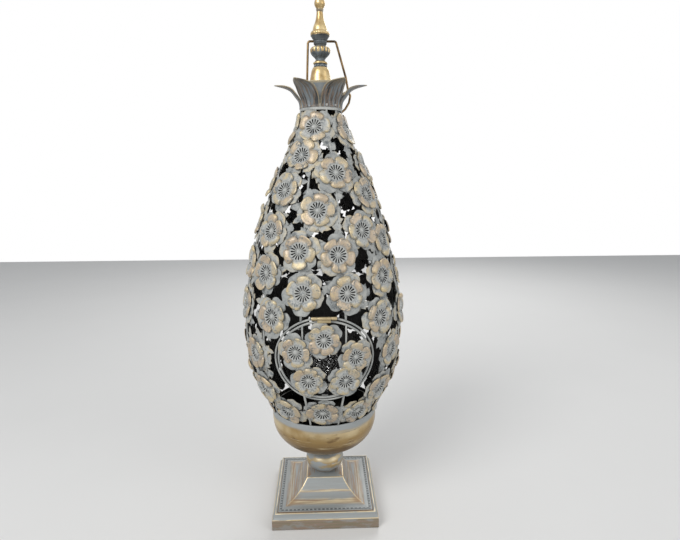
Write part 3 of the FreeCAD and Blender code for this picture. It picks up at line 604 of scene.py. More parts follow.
# %% Foot's paint
def foot_paint():
    """Blue-grey steps with gold on edges and hips; all streaks run level along their own side."""
    paint = Paint("foot_paint")
    x, y, z = [axis * 1000 for axis in paint.parts_of(paint.place())]
    wide, deep = x.math("ABSOLUTE"), y.math("ABSOLUTE")
    out = wide.math("MAXIMUM", deep)
    side = (wide - deep).between(-0.4, 0.4)
    along = x + (y - x) * side

    def brushed(lengthwise, crosswise, shift, detail):
        spot = paint.node("CombineXYZ", inputs={"X": along * lengthwise, "Y": (out - z) * crosswise,
                                                "Z": side * 7 + shift})
        return paint.noise(1.0, detail=detail, rough=0.6, vector=spot)

    streak = brushed(0.012, 0.3, 0, 4)
    smear = brushed(0.03, 0.07, 20, 3)
    fine = paint.noise(450, detail=2)
    step = out - z + (smear - 0.5) * 6 + (streak - 0.5) * 3
    level = out - z

    def band(value, low, high, soft):
        return value.between(low - soft, low + soft) * value.between(high + soft, high - soft)

    slope = level.between(46, 40)
    colour = paint.mix(streak.between(0.35, 0.65), GREY_SOFT, BLUE_PALE)
    sides = paint.mix(streak.between(0.42, 0.58), COPPER, BLUE_PALE)
    sides = paint.mix(smear.between(0.5, 0.65) * 0.6, sides, OLIVE)
    colour = paint.mix(side * slope * 0.8, colour, sides)
    rubbed = paint.mix(streak.between(0.35, 0.6), COPPER, CREAM)
    smears = band(step, 25, 39, 4) * 0.85
    smears = smears.math("MAXIMUM", band(step, 1, 7, 1.8) * 0.8) * (1 - side * 0.6)
    colour = paint.mix(smears * smear.between(0.25, 0.5), colour, rubbed)
    skirt = paint.mix(streak.between(0.4, 0.6), OLIVE, REDDISH)
    skirt = paint.mix(smear.between(0.5, 0.62) * 0.6, skirt, GREY_SOFT)
    colour = paint.mix(level.between(77, 79.5), colour, skirt)
    colour = paint.mix(band(level, 58.2, 61.0, 0.5), colour, BROWN)
    # painted shade: the shelf and the beads' lower halves are dark round the row of beads
    bead_row_shade = band(out, 82.2, 86.6, 0.4) * z.between(31.8, 31.3)
    colour = paint.mix(bead_row_shade * 0.8, colour, GREY_DEEP)
    beads = band(out, 82.2, 86.6, 0.4) * z.between(31.8, 32.2)
    colour = paint.mix(beads * 0.7, colour, BLUE_PALE)
    corner = (wide - deep).math("ABSOLUTE").between(16, 2) * slope * level.between(6, 26)
    colour = paint.mix(corner * smear.between(0.3, 0.55) * 0.75, colour, COPPER)
    hips = (wide - deep).math("ABSOLUTE").between(2.4, 0.8) * slope * level.between(-32, -30)
    hips = hips * (1 - level.between(0, 34) * 0.65)
    edges = band(level, 77.2, 79.4, 0.5).math("MAXIMUM", band(level, 61.9, 64.2, 0.6))
    edges = edges.math("MAXIMUM", band(level, -31.6, -28.6, 0.5))
    gold = hips.math("MAXIMUM", edges * smear.between(0.3, 0.5) * 0.9)
    colour = paint.mix(gold, colour, paint.mix(streak.between(0.3, 0.5), GOLD_WARM, CREAM))
    colour = paint.mix(fine.between(0.66, 0.8) * 0.25, colour, GREY_DEEP)
    paint.set("Base Color", colour)
    paint.set("Metallic", gold * 0.6 + 0.15)
    paint.set("Roughness", 0.48 - gold * 0.12 + (smear - 0.5) * 0.25)
    paint.bump(streak * 0.7 + fine * 0.3, 0.15, 0.0006)
    return paint.material


FOOT_PAINT = made(foot_paint())


# %% [markdown]
# ## Paint of the simple pieces
# Wires, nuts, felt and board need only two close colours and a grain. One function with a few numbers makes
# them all; even a hidden piece gets a real finish, as it shows when the lamp is taken apart.


# %% Simple pieces' paint
def plain_paint(name, dark, light, scale, metallic, roughness, grain=0.25, inner_shade=0.0):
    """Two close colours mixed by a noise, for simple pieces; the last argument paints shade, near black, on
    what faces the axis.
    """
    paint = Paint(name, metallic=metallic, roughness=roughness)
    cloud = paint.noise(scale, detail=4)
    fine = paint.noise(scale * 9, detail=2)
    colour = paint.mix(cloud.between(0.35, 0.65), dark, light)
    if inner_shade:
        # painted shade: near black on the side that faces the axis
        colour = paint.mix(paint.inside() * inner_shade, colour, NEAR_BLACK)
    paint.set("Base Color", colour)
    paint.set("Roughness", roughness + (fine - 0.5) * 0.25)
    paint.bump(cloud * 0.5 + fine * 0.5, grain, 0.0004)
    return paint.material


# %% [markdown]
# ## Paint of the crown's leaves
# The leaves are beaten along their length, and the brush touched the ridges only. The noise is read in the
# leaf's own directions, across nine times faster than along, so that its veins run from root to tip however
# the leaf is turned. Rims and tips are rubbed to champagne.


# %% Crown leaves' paint
def crown_paint():
    """Dark blue-grey leaves with brown creases along them and rubbed rims."""
    paint = Paint("crown_leaf", metallic=0.3)
    along, across, tint = paint.marks()
    cloud = paint.noise(45, detail=4)
    spot = paint.node("CombineXYZ", inputs={"X": across * 9, "Y": along * 1.3, "Z": tint * 30})
    vein = paint.noise(1.0, detail=4, rough=0.6, vector=spot)
    colour = paint.mix(vein.between(0.42, 0.62), GREY_DARK, GREY_BLUE)
    colour = paint.mix((vein + (cloud - 0.5) * 0.4).between(0.6, 0.68) * 0.6, colour, BLUE_PALE)
    colour = paint.mix(vein.between(0.44, 0.48) * vein.between(0.53, 0.49) * 0.55, colour, COPPER)
    colour = paint.mix(along.between(0.5, 0.9) * cloud.between(0.3, 0.55) * 0.65, colour, OLIVE)
    rim = ((across - 0.5) * 2).math("ABSOLUTE").between(0.88, 0.97)
    rim = rim.math("MAXIMUM", along.between(0.95, 0.99))
    colour = paint.mix(rim * cloud.between(0.35, 0.55) * 0.6, colour, CHAMPAGNE)
    paint.set("Base Color", colour)
    paint.set("Roughness", 0.46 + (cloud - 0.5) * 0.3)
    paint.set("Metallic", rim * 0.4 + 0.2)
    paint.bump(vein * 0.8 + cloud * 0.2, 0.8, 0.0014)
    return paint.material


CROWN_PAINT = made(crown_paint())


# %% [markdown]
# ## Paint of the cup in the crown
# A smooth little cup stands inside the leaves. It is plain blue-grey, and only its lip was rubbed.


# %% Crown cup's paint
def cuplet_paint():
    """Smooth pale blue-grey with a champagne lip."""
    paint = Paint("crown_cup_paint", metallic=0.15)
    cloud = paint.noise(35, detail=4)
    colour = paint.mix(cloud.between(0.35, 0.65), GREY_BLUE, BLUE_PALE)
    colour = paint.mix((paint.height() + (cloud - 0.5) * 3).between(804.5, 807) * 0.85, colour, CHAMPAGNE)
    paint.set("Base Color", colour)
    paint.set("Roughness", 0.5 + (cloud - 0.5) * 0.2)
    paint.bump(cloud, 0.15, 0.0004)
    return paint.material


CUPLET_PAINT = made(cuplet_paint())


# %% [markdown]
# ## Paint of the finial
# The finial is gilt, but its necks are left dark. The valleys between the lobes and the beaded collar get
# grey painted shade. The heights of the necks give the dark bands, the mark that `lathe` left gives the
# valleys, and the collar's height gives its shade. A fine noise wears spots of brown through the gold.


# %% Finial's paint
def gold_paint():
    """Antique gold on crests and lips, grey-brown in the necks, painted shade in the valleys and the beaded
    collar.
    """
    paint = Paint("antique_gold")
    height = paint.height()
    crest = paint.marks()[1]
    cloud = paint.noise(60, detail=4)
    fine = paint.noise(500, detail=2)
    wander = height + (cloud - 0.5) * 8

    def band(low, high, soft=1.2):
        return wander.between(low - soft, low + soft) * wander.between(high + soft, high - soft)

    dark = band(BEADS_TOP + 1, 860.5).math("MAXIMUM", band(BALL_TOP + 0.5, FLANGE_TOP - 0.5))
    dark = dark.math("MAXIMUM", band(VASE_TOP - 2, 931.5) * 0.6)
    # painted shade: the collar's waist and beads are dark, standing for the shadowed openings of the openwork
    # collar
    collar_hole_shade = (height - COLLAR_BEADS_Z).math("ABSOLUTE").between(3.2, 2.4) * crest.between(1.5, 1.4)
    # painted shade in the valleys between the lobes, from the lathe's mark
    dark = dark.math("MAXIMUM", collar_hole_shade).math("MAXIMUM", crest.between(0.975, 0.93))
    deep = paint.mix(cloud.between(0.4, 0.6), GREY_DEEP, GREY_BLUE)
    deep = paint.mix(band(870, 888) * 0.5, deep, NEAR_BLACK)
    colour = paint.mix(cloud.between(0.35, 0.7), GOLD_WARM, GOLD_PALE)
    colour = paint.mix(wander.between(816, 800) * 0.7, colour, CHAMPAGNE)
    colour = paint.mix(fine.between(0.6, 0.76) * 0.5, colour, BROWN)
    colour = paint.mix(dark, colour, deep)
    paint.set("Base Color", colour)
    paint.set("Metallic", 0.8 - dark * 0.5)
    paint.set("Roughness", 0.32 + (cloud - 0.5) * 0.25 + dark * 0.15)
    paint.bump(fine, 0.1, 0.0004)
    return paint.material


GOLD_PAINT = made(gold_paint())


# %% [markdown]
# ## Glass of the bulb
# Clear glass lets light through, so its transmission is set on the surface itself. A faint haze in colour
# and roughness keeps it from being perfectly clean.


# %% Bulb's glass
def glass_paint():
    """Clear glass with a faint haze."""
    paint = Paint("clear_glass", roughness=0.04, Transmission_Weight=1.0, IOR=1.45)
    haze = paint.noise(30)
    paint.set("Base Color", paint.mix(haze, rgb(0.93, 0.94, 0.93), rgb(0.97, 0.97, 0.96)))
    paint.set("Roughness", haze * 0.04 + 0.01)
    return paint.material


GLASS_PAINT = made(glass_paint())

# %% [markdown]
# ## The simple finishes
# Pale grey wire, bronze for the bail, bright steel for nuts and tubes, dull iron for the weight, and the
# felt, board, rubber and black resin of the parts inside. Each takes a dark and a light colour, the size of
# its grain, how metallic it is and how rough.

# %% Make the simple finishes
# painted shade: the last argument, 1.0, turns the wires' side facing into the cage near black
RIB_PAINT = plain_paint("rib_paint", GREY_SOFT, GREY_LIGHT, 60, 0.1, 0.5, inner_shade=1.0)
BRONZE_PAINT = plain_paint("bronze_paint", BRONZE_DARK, BRONZE_LIGHT, 55, 0.6, 0.36)
STEEL_PAINT = plain_paint("steel_paint", rgb(0.45, 0.45, 0.44), rgb(0.6, 0.6, 0.58), 50, 0.9, 0.35)
IRON_PAINT = plain_paint("iron_paint", rgb(0.02, 0.02, 0.02), rgb(0.05, 0.05, 0.05), 60, 0.6, 0.7)
FELT_PAINT = plain_paint("felt_paint", rgb(0.02, 0.025, 0.022), rgb(0.04, 0.045, 0.04), 300, 0.0, 0.95, 0.6)
BOARD_PAINT = plain_paint("board_paint", rgb(0.16, 0.10, 0.06), rgb(0.22, 0.15, 0.09), 120, 0.0, 0.8)
RUBBER_PAINT = plain_paint("rubber_paint", rgb(0.012, 0.012, 0.012), rgb(0.022, 0.022, 0.022), 90, 0.0, 0.6)
BLACK_PAINT = plain_paint("holder_paint", rgb(0.015, 0.015, 0.015), rgb(0.03, 0.03, 0.03), 60, 0.0, 0.45)
print("materials:", len(bpy.data.materials))

# %% [markdown]
# ## The cage's outline
# Twelve bent ribs give the cage its egg shape, and everything else is welded to them. They all follow one
# curve, radius against height, so a smooth cubic through the outline's points serves ribs, leaves and door.
# It also gives the way the surface faces, which every leaf needs to lie flat on it.


# %% Cage outline
def cage_radius(z):
    """Rib radius at a height: a smooth cubic through the outline's points."""
    pts = CAGE_OUTLINE
    z = min(max(z, pts[0][0]), pts[-1][0])
    k = max(i for i in range(len(pts) - 1) if pts[i][0] <= z)

    def slope(i):
        a, b = pts[max(i - 1, 0)], pts[min(i + 1, len(pts) - 1)]
        return (b[1] - a[1]) / (b[0] - a[0])

    (z0, r0), (z1, r1) = pts[k], pts[k + 1]
    step = z1 - z0
    t = (z - z0) / step
    return ((2 * t ** 3 - 3 * t ** 2 + 1) * r0 + (t ** 3 - 2 * t ** 2 + t) * step * slope(k)
            + (3 * t ** 2 - 2 * t ** 3) * r1 + (t ** 3 - t ** 2) * step * slope(k + 1))


def cage_point(azimuth, z, out=0.0):
    angle = math.radians(azimuth)
    r = cage_radius(z) + out
    return np.array([r * math.sin(angle), -r * math.cos(angle), z])


def cage_normal(azimuth, z):
    lean = math.atan2(cage_radius(z - 5) - cage_radius(z + 5), 10.0)
    angle = math.radians(azimuth)
    return np.array([math.sin(angle) * math.cos(lean), -math.cos(angle) * math.cos(lean), math.sin(lean)])


def front_point(x, z):
    return np.array([x, -math.sqrt(cage_radius(z) ** 2 - x ** 2), z])


print("cage radius at the door's middle:", round(cage_radius(DOOR_Z), 1), "mm")


# %% [markdown]
# ## Where the blossoms sit
# The solids already carry 83 plain blossoms. Writing down their places a second time would let the two drift
# apart, so they are read from the solids. Each lower petal layer is a separate island of its node: joining
# points that share a face finds the islands, and each tells its middle, the way it faces and where its first
# petal points.


# %% Read the seats
def islands(node):
    """Point sets of the separate solids in a node, in millimetres."""
    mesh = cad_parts[node].data
    points = np.empty(len(mesh.vertices) * 3, np.float32)
    mesh.vertices.foreach_get("co", points)
    points = points.reshape(-1, 3).astype(float) / MM
    keys, owner = np.unique(np.round(points, 2), axis=0, return_inverse=True)
    owner = owner.reshape(-1)
    parent = list(range(len(keys)))

    def root(i):
        while parent[i] != i:
            parent[i] = parent[parent[i]]
            i = parent[i]
        return i

    for polygon in mesh.polygons:
        ids = [root(owner[v]) for v in polygon.vertices]
        for i in ids[1:]:
            parent[root(i)] = root(ids[0])
    groups = {}
    for i in range(len(keys)):
        groups.setdefault(root(i), []).append(keys[i])
    return [np.array(g) for g in groups.values()]


def seats_of(node):
    """(middle of the back, outward normal, direction of the first petal, radius) of each blossom."""
    seats = []
    for points in islands(node):
        middle = points.mean(0)
        far = np.linalg.norm(points - middle, axis=1)
        low, high = points[np.argsort(far)[:2]]
        normal = unit(high - low)
        if normal @ np.array([middle[0], middle[1], 0]) < 0:
            low, high, normal = high, low, -normal
        reach = np.linalg.norm(points - low, axis=1)
        tips = points[reach > reach.max() - 0.2]
        tip = tips[np.argmax(tips[:, 2])] - low
        tip -= normal * (tip @ normal)
        seats.append((low, normal, unit(tip), reach.max()))
    return sorted(seats, key=lambda s: (round(s[0][2]), round(s[0][0], 1), round(s[0][1], 1)))


print("blossoms on the cage:", sum(len(seats_of("bloom_backs" + zone)) for zone in ZONES))


# %% [markdown]
# ## The outline of a petal
# A stamped petal is broad and nearly flat at its end, with a narrow cleft to its neighbour. A sine gives
# pointed or starry shapes, so the outline uses two powers instead: one says how full the petal is, the other
# how square its end.


# %% Petal outline
PETAL_ANGLE = 360 / PETALS


def petal_turn(a):
    """Place across a petal, from -1 to 1, and the petal's number, at an angle round the blossom."""
    degrees = math.degrees(a) + PETAL_ANGLE / 2
    return (degrees % 72 - 36) / 36, int((degrees % 360) // 72)


def lobe(turn, valley, fullness, square):
    """Outline of one petal against its own angle, from -1 to 1: valley at the ends, 1 in the middle."""
    return valley + (1 - valley) * np.maximum(0, 1 - np.abs(turn) ** fullness) ** square


def draws(rng, low, high):
    """One random number for each petal."""
    return [rng.uniform(low, high) for _ in range(PETALS)]


def fold_under(points, marks, columns):
    """Repeats the last row a little further in and lower, so that the sheet shows its thickness."""
    for p, mark in zip(points[-columns:], marks[-columns:]):
        points.append((p[0] * 0.985, p[1] * 0.985, p[2] - 0.8))
        marks.append(mark)


# %% [markdown]
# ## Upper layer of a blossom
# The top layer is stamped from sheet: a raised button, fifteen slots with pale rays between them, and five
# cupped petals whose rims roll back. It could be modelled once and copied, but the real ones were hammered
# by hand and no two are alike. So it is a polar grid whose petals each draw their own length, swell, rise
# and twist. The slots are true holes: the columns spread apart in five rows, and the faces between them are
# left out, so the near-black painted shade on the lower layer's middle shows through.


# %% Upper layer
UPPER_R, SLOTS = 29.0, 15


def upper_layer(rng, radius):
    """Points, faces and marks of the slotted upper layer, its middle at the origin, facing +Z."""
    per_slot = 6
    columns = SLOTS * per_slot
    period = 2 * math.pi / SLOTS
    size = radius / UPPER_R
    inner = [(0.6, 3.0), (2.0, 2.9), (3.2, 2.3), (3.8, 1.3), (4.4, 0.9), (5.8, 0.8), (7.6, 1.0), (9.8, 1.6),
             (12.0, 2.5), (13.3, 3.0), (14.0, 3.2)]
    half_slot = {5: 0.42, 6: 0.82, 7: 1.1, 8: 1.15, 9: 0.65}
    shares = [0.12, 0.25, 0.4, 0.55, 0.7, 0.82, 0.91, 0.97, 1.0]
    start = inner[-1][0]
    long, puff = draws(rng, 0.92, 1.05), draws(rng, -1.6, 3.4)
    rise = [drawn - 0.5 * min(swell, 1.5) for drawn, swell in zip(draws(rng, 0.6, 3.2), puff)]
    twist = draws(rng, -1.3, 1.3)
    tints = [rng.random() for _ in range(PETALS)]
    points, marks = [], []

    def column_angle(j, row):
        slot, step = divmod(j, per_slot)
        half = math.radians(2.0)
        if row in half_slot:
            half = half_slot[row] / (inner[row][0])
        gap = (period - 2 * half) / (per_slot - 1)
        return slot * period + (-half if step == 0 else half + (step - 1) * gap)

    for row, (r, z) in enumerate(inner):
        for j in range(columns):
            a = column_angle(j, row)
            lift = -0.45 * math.cos(SLOTS * a) if row >= 4 else 0
            points.append((r * math.cos(a), r * math.sin(a), z + lift))
            marks.append((0.5 * r / start, 0.5, tints[petal_turn(a)[1]], 1))
    for share in shares:
        for j in range(columns):
            a = column_angle(j, 0)
            turn, petal = petal_turn(a)
            body = 1 - turn ** 2
            rim = UPPER_R * lobe(turn, 0.5, 3.6, 0.42) * (1 + (long[petal] - 1) * body)
            r = start + share * (rim - start)
            z = 3.3 + rise[petal] * share ** 1.5 * (0.4 + 0.6 * body)
            z += puff[petal] * body * math.sin(math.pi * share)
            z += twist[petal] * turn * share - 3.8 * max(0, abs(turn) - 0.76) / 0.24 * share ** 0.5
            z -= 1.4 * (max(0, share - 0.82) / 0.18) ** 2
            points.append((r * math.cos(a), r * math.sin(a), z))
            marks.append((0.5 + 0.5 * share, 0.5 + 0.5 * turn, tints[petal], 1))
    rows = len(inner) + len(shares)
    fold_under(points, marks, columns)
    faces = []
    for face in grid_faces(rows + 1, columns, wrap=True):
        row, column = divmod(face[0], columns)
        if column % per_slot == 0 and 4 <= row <= 8:
            continue
        faces.append(face)
    faces.append(list(range(columns))[::-1])
    return np.array(points) * size, faces, np.array(marks)


# %% [markdown]
# ## Lower layer of a blossom
# Behind it lies a wider, flatter ring of five petals, turned by half a petal so that its ends fill the
# clefts in front. Its rims are slightly scalloped. The same kind of polar grid is used, without slots.


# %% Lower layer
LOWER_R = 38.0


def lower_layer(rng, radius):
    """Points, faces and marks of the flatter layer behind."""
    columns = 70
    size = radius / LOWER_R
    inner = [(1.0, 0.2), (10.0, 0.2), (17.0, 0.5)]
    start = inner[-1][0]
    shares = [0.25, 0.45, 0.62, 0.78, 0.9, 0.97, 1.0]
    lean, twist, long = draws(rng, -1.2, 3.4), draws(rng, -1.2, 1.2), draws(rng, 0.93, 1.03)
    tints = [rng.random() for _ in range(PETALS)]
    points, marks = [], []
    for r, z in inner:
        for j in range(columns):
            a = 2 * math.pi * j / columns
            points.append((r * math.cos(a), r * math.sin(a), z))
            marks.append((r / LOWER_R, 0.5, 0.5, 1))
    for share in shares:
        for j in range(columns):
            a = 2 * math.pi * j / columns
            turn, petal = petal_turn(a)
            body = 1 - turn ** 2
            rim = LOWER_R * lobe(turn, 0.52, 3.2, 0.5) * (1 + (long[petal] - 1) * body)
            rim *= 1 - 0.014 * math.cos(3 * math.pi * turn)
            r = start + share * (rim - start)
            z = 0.5 + (1.2 + lean[petal]) * share ** 1.5 * body + 0.5 * share * math.cos(3 * math.pi * turn)
            z += 0.8 * share * abs(turn) ** 3 + twist[petal] * turn * share
            z -= 1.5 * max(0, share - 0.78) / 0.22
            points.append((r * math.cos(a), r * math.sin(a), z))
            marks.append((0.45 + 0.55 * share, 0.5 + 0.5 * turn, tints[petal], 1))
    rows = len(inner) + len(shares)
    fold_under(points, marks, columns)
    faces = grid_faces(rows + 1, columns, wrap=True)
    faces.append(list(range(columns))[::-1])
    return np.array(points) * size, faces, np.array(marks)


# %% [markdown]
# ## Blossoms on their seats
# A blossom is made flat, then turned to its seat and pressed against the round cage: each point sinks by the
# square of its distance to the side, which is what a circle does near its top. Every zone starts its own
# random series, so a change in one zone leaves the others as they are.


# %% Blossoms on their seats
def laid(points, seat, spin=0.0, lift=0.0, bend=0.8):
    """Turns points from the blossom's own axes to its seat, and bends them round the cage."""
    low, normal, first, radius = seat
    other = np.cross(normal, first)
    c, s = math.cos(spin), math.sin(spin)
    x = first * c + other * s
    y = -first * s + other * c
    placed = (np.outer(points[:, 0], x) + np.outer(points[:, 1], y)
              + np.outer(points[:, 2] + lift, normal))
    level = np.array([-low[1], low[0], 0]) / math.hypot(low[0], low[1])
    beside = placed @ level
    around = math.hypot(low[0], low[1]) / max(0.5, math.hypot(normal[0], normal[1]))
    return low + placed - np.outer(bend * beside ** 2 / (2 * around), normal)


def blossoms(zone, body, prefix="bloom"):
    """The two layers of all blossoms that belong to one pair of CAD nodes."""
    rng = random.Random(zone)
    backs, tops = Pile(), Pile()
    for seat in seats_of(f"{prefix}_backs{zone}"):
        scale = seat[3] / BLOOM_BACK_R
        points, faces, marks = lower_layer(rng, 36.8 * scale)
        backs.add(laid(points, seat), faces, marks)
        points, faces, marks = upper_layer(rng, 29.5 * scale)
        tops.add(laid(points, seat, math.radians(36), 1.3), faces, marks)
    for pile, layer, paint, slot in ((backs, "backs", BACK_PAINT, "blossom_grey"),
                                     (tops, "tops", TOP_PAINT, "blossom_champagne")):
        node = f"{prefix}_{layer}{zone}"
        pile.make("fine_" + node, paint, body, [node], slot=slot)


for zone in ZONES:
    blossoms(zone, "lamp")
blossoms("", "door", "door_bloom")


# %% [markdown]
# ## One leaf
# Small toothed leaves are welded between the blossoms. Half of the outline is written and mirrored, and four
# copies of it from small to full size make the surface, lifted at the sides like a shallow dish.


# %% One leaf
def leaf(rng, length):
    """A pointed leaf with toothed sides, lying along +X."""
    rim = [(-0.75, 0.12), (-0.55, 0.38), (-0.28, 0.62), (-0.18, 0.34), (0.1, 0.46), (0.3, 0.62), (0.36, 0.3),
           (0.68, 0.26), (1.0, 0.0)]
    outline = rim + [(u, -v) for u, v in rim[-2::-1]]
    points, marks = [], []
    for share in (0.15, 0.55, 0.9, 1.0):
        for u, v in outline:
            z = 0.6 + 1.4 * share * abs(v) + 0.8 * share * u
            points.append((length * share * u, length * share * v * 0.8, z))
            marks.append((0.5 + 0.5 * share, 0.5 + v / 2, 0, 1))
    n = len(outline)
    for p in np.array(points[-n:]):
        points.append(tuple(p - [0, 0, 0.7]))
        marks.append((1, 0.5, 0, 1))
    faces = grid_faces(5, n, wrap=True)
    faces.append(list(range(n))[::-1])
    return np.array(points), faces, np.array(marks)


# %% [markdown]
# ## Leaves between the blossoms
# A welder fills the gaps that are left once the blossoms are on. So the script walks up the cage in small
# steps and sets a leaf wherever no blossom and no other leaf is near. The back, where the blossoms sit wider
# apart, takes more of them. The door and its edge stay clear, so that it can swing.


# %% Leaves between the blossoms
def place_leaves():
    """Leaves on bare stretches of the ribs; the back, where fewer blossoms sit, gets more of them."""
    rng = random.Random("leaves")
    nodes = ["bloom_backs" + zone for zone in ZONES] + ["door_bloom_backs"]
    blooms = np.array([seat[0] for node in nodes for seat in seats_of(node)])
    leaves = np.zeros((0, 3))
    pile = Pile()
    for z in range(224, 748, 8):
        for k in range(2 * RIB_COUNT):
            azimuth = RIB_FIRST + 15 * k + rng.uniform(-4, 4)
            at = cage_point(azimuth, z, RIB_R)
            behind = at[1] > 12
            near_door = not behind and abs(at[0] - DOOR_X) < 96 and abs(z - DOOR_Z) < 88
            if near_door:
                continue
            nearest = np.linalg.norm(blooms - at, axis=1).min()
            if nearest < (22 if behind else 27) or (k % 2 and not behind and nearest > 34):
                continue
            if len(leaves) and np.linalg.norm(leaves - at, axis=1).min() < (14 if behind else 22):
                continue
            leaves = np.vstack([leaves, at])
            normal = cage_normal(azimuth, z)
            first = unit(np.cross(normal, [0.1, 0.2, 1.0]))
            points, faces, marks = leaf(rng, rng.uniform(18, 22))
            marks[:, 2] = rng.random()
            seat = (at - normal, normal, first, 1)
            pile.add(laid(points, seat, rng.uniform(0, 6.28)), faces, marks)
    pile.make("fine_gap_leaves", BACK_PAINT, "lamp", ["gap_leaves"], slot="blossom_grey")
    print("leaves:", len(leaves))


place_leaves()


# %% [markdown]
# ## Ribs
# Ten ribs run from the cup to the top ring. The two in front stop at the ring round the door, and go on above
# it; where they end follows from the ring's oval, so they always meet it.


# %% Ribs
def place_ribs():
    share = math.sqrt(1 - ((cage_point(RIB_FIRST, DOOR_Z)[0] - DOOR_X) / DOOR_WIDE) ** 2)
    ribs = Pile()
    for k in range(RIB_COUNT):
        azimuth = RIB_FIRST + k * 360 / RIB_COUNT
        if k in (0, RIB_COUNT - 1):
            spans = [(190, DOOR_Z - DOOR_HIGH * share), (DOOR_Z + DOOR_HIGH * share, 762)]
        else:
            spans = [(190, 762)]
        for low, high in spans:
            steps = max(6, int((high - low) / 12))
            path = [cage_point(azimuth, low + (high - low) * i / steps) for i in range(steps + 1)]
            wire(ribs, path, RIB_R)
    ribs.make("fine_cage_ribs", RIB_PAINT, "lamp", ["cage_ribs"], slot="frame_wire")


place_ribs()


# %% [markdown]
# ## Door rings
# One ring stays on the cage and a smaller one carries the door, with two short ribs of its own. Both are
# ovals seen from the front, laid on the round cage: x and z come from the oval and the depth from the
# cage's outline.


# %% Door rings
def place_door():
    def ring(wide, high):
        turns = [2 * math.pi * k / 96 for k in range(96)]
        return [front_point(DOOR_X + wide * math.sin(a), DOOR_Z + high * math.cos(a)) for a in turns]

    fixed = Pile()
    wire(fixed, ring(DOOR_WIDE, DOOR_HIGH), 1.7, closed=True)
    fixed.make("fine_door_frame_ring", RIB_PAINT, "lamp", ["door_frame_ring"], slot="frame_wire")
    moving = Pile()
    wide, high = DOOR_WIDE - DOOR_STEP, DOOR_HIGH - DOOR_STEP
    wire(moving, ring(wide, high), 1.9, closed=True)
    moving.make("fine_door_ring", RIB_PAINT, "door", ["door_ring"], slot="frame_wire")
    bars = Pile()
    for side in (-1, 1):
        x = DOOR_X + side * DOOR_RIB_X
        reach = high * math.sqrt(1 - (DOOR_RIB_X / wide) ** 2)
        wire(bars, [front_point(x, DOOR_Z + reach * t / 6) for t in range(-6, 7)], 1.5)
    bars.make("fine_door_ribs", RIB_PAINT, "door", ["door_ribs"], slot="frame_wire")


place_door()


# %% [markdown]
# ## Bail
# The handle is one bronze wire. It rises from two holes in the top ring, one leg inside the crown and the
# other bulging out round it, and lies flat across under the finial's flange. It isn't symmetrical, so its
# route is written point by point and only the corners are rounded by rule.


# %% Bail
def place_bail():
    bail = Pile()
    route = [(-33, 24, 765), (-16.6, 24, 765), (-23.8, 18.8, 790), (-24.0, 18.4, 822), (-21.5, 16.9, 884.3),
             (27.6, 16.9, 884.3), (45.8, 22.4, 824), (49.8, 26.4, 803.5), (54.0, 29.0, 794.5),
             (51.5, 28.0, 782), (44.5, 25.4, 770.5), (38.2, 24, 765), (21, 24, 765)]
    wire(bail, bent(route, 4.0), 2.0, sides=14)
    bail.make("fine_bail_handle", BRONZE_PAINT, "bail", ["bail_handle"], slot="bronze_wire")


place_bail()


# %% [markdown]
# ## Cup, ball and neck ring
# The cup is spun from sheet and fuller than half a ball. A superellipse, a circle with other powers than
# two, gives that fullness with one number, and a second one 2 mm smaller gives the inside. The ball and the
# beaded ring under it are cast, with softened corners.


# %% Turned pieces of the lower half
def superellipse(wide, deep, centre_z, squareness, steps=26, first=6):
    """Lower half of the cup's section, from near the axis to the widest height."""
    out = []
    for k in range(steps + 1):
        a = math.radians(first + (90 - first) * k / steps)
        out.append((math.sin(a) ** (2 / squareness) * wide,
                    centre_z - max(math.cos(a), 0) ** (2 / squareness) * deep))
    return out


def place_turned():
    ring = Pile()
    lathe(ring, rounded([(TUBE_R, NECK_LOW), (20.5, NECK_LOW), (21.5, 67.2), (21.5, 68.3), (20.5, KNOP_LOW),
                         (TUBE_R, KNOP_LOW)], 0.5), 64)
    beads_round(ring, 20, 20.6, 67.8, 0.85)
    ring.make("fine_neck_ring", KNOP_PAINT, "lamp", ["neck_ring"], slot="patinated_metal")

    knop = Pile()
    heights = [KNOP_LOW + (KNOP_TOP - KNOP_LOW) * k / 26 for k in range(27)]
    side = [(37.3 * math.sqrt(max(0, 1 - ((z - 91) / 26) ** 2)), z) for z in heights]
    lathe(knop, [(TUBE_R, KNOP_LOW)] + side + [(TUBE_R, KNOP_TOP)], 80)
    knop.make("fine_ball_knop", KNOP_PAINT, "lamp", ["ball_knop"], slot="patinated_metal")

    cup = Pile()
    deep, widest_z, fullness, sheet = 72.2, 192, 2.31, 2
    outside = superellipse(CUP_R, deep, widest_z, fullness)
    inside = superellipse(CUP_R - sheet, deep - sheet, widest_z, fullness)
    rim = [(CUP_R, 200), (CUP_R, 206), (CUP_R - 0.2, 208.8), (CUP_R - 1, CUP_RIM_Z),
           (CUP_R - 1.8, 208.8), (CUP_R - sheet, 206), (CUP_R - sheet, 200)]
    lathe(cup, [(TUBE_R, KNOP_TOP), (14, KNOP_TOP), (14.3, 119.6), (18, 119.9)] + outside[2:] + rim
          + inside[::-1] + [(TUBE_R, inside[0][1])], 120)
    cup.make("fine_cup", CUP_PAINT, "lamp", ["cup"], slot="patinated_metal")

    band = Pile()
    lathe(band, rounded([(95.2, 188), (98.2, 188), (98.2, 204), (95.2, 204), (95.2, 188)], 0.6), 96)
    band.make("fine_cage_band", RIB_PAINT, "lamp", ["cage_band"], slot="frame_wire")


place_turned()


# %% [markdown]
# ## Square forms
# The foot is a stack of square outlines, as a plasterer's template would draw it. A lathe can't make it, and
# a bevelled box has no ogee. So a profile of half widths and heights is swept round a square whose corners
# are slightly rounded: one side is written, and quarter turns give the rest.


# %% Square forms
QUARTERS = ((1, 0), (0, 1), (-1, 0), (0, -1))     # cosine and sine of each quarter turn


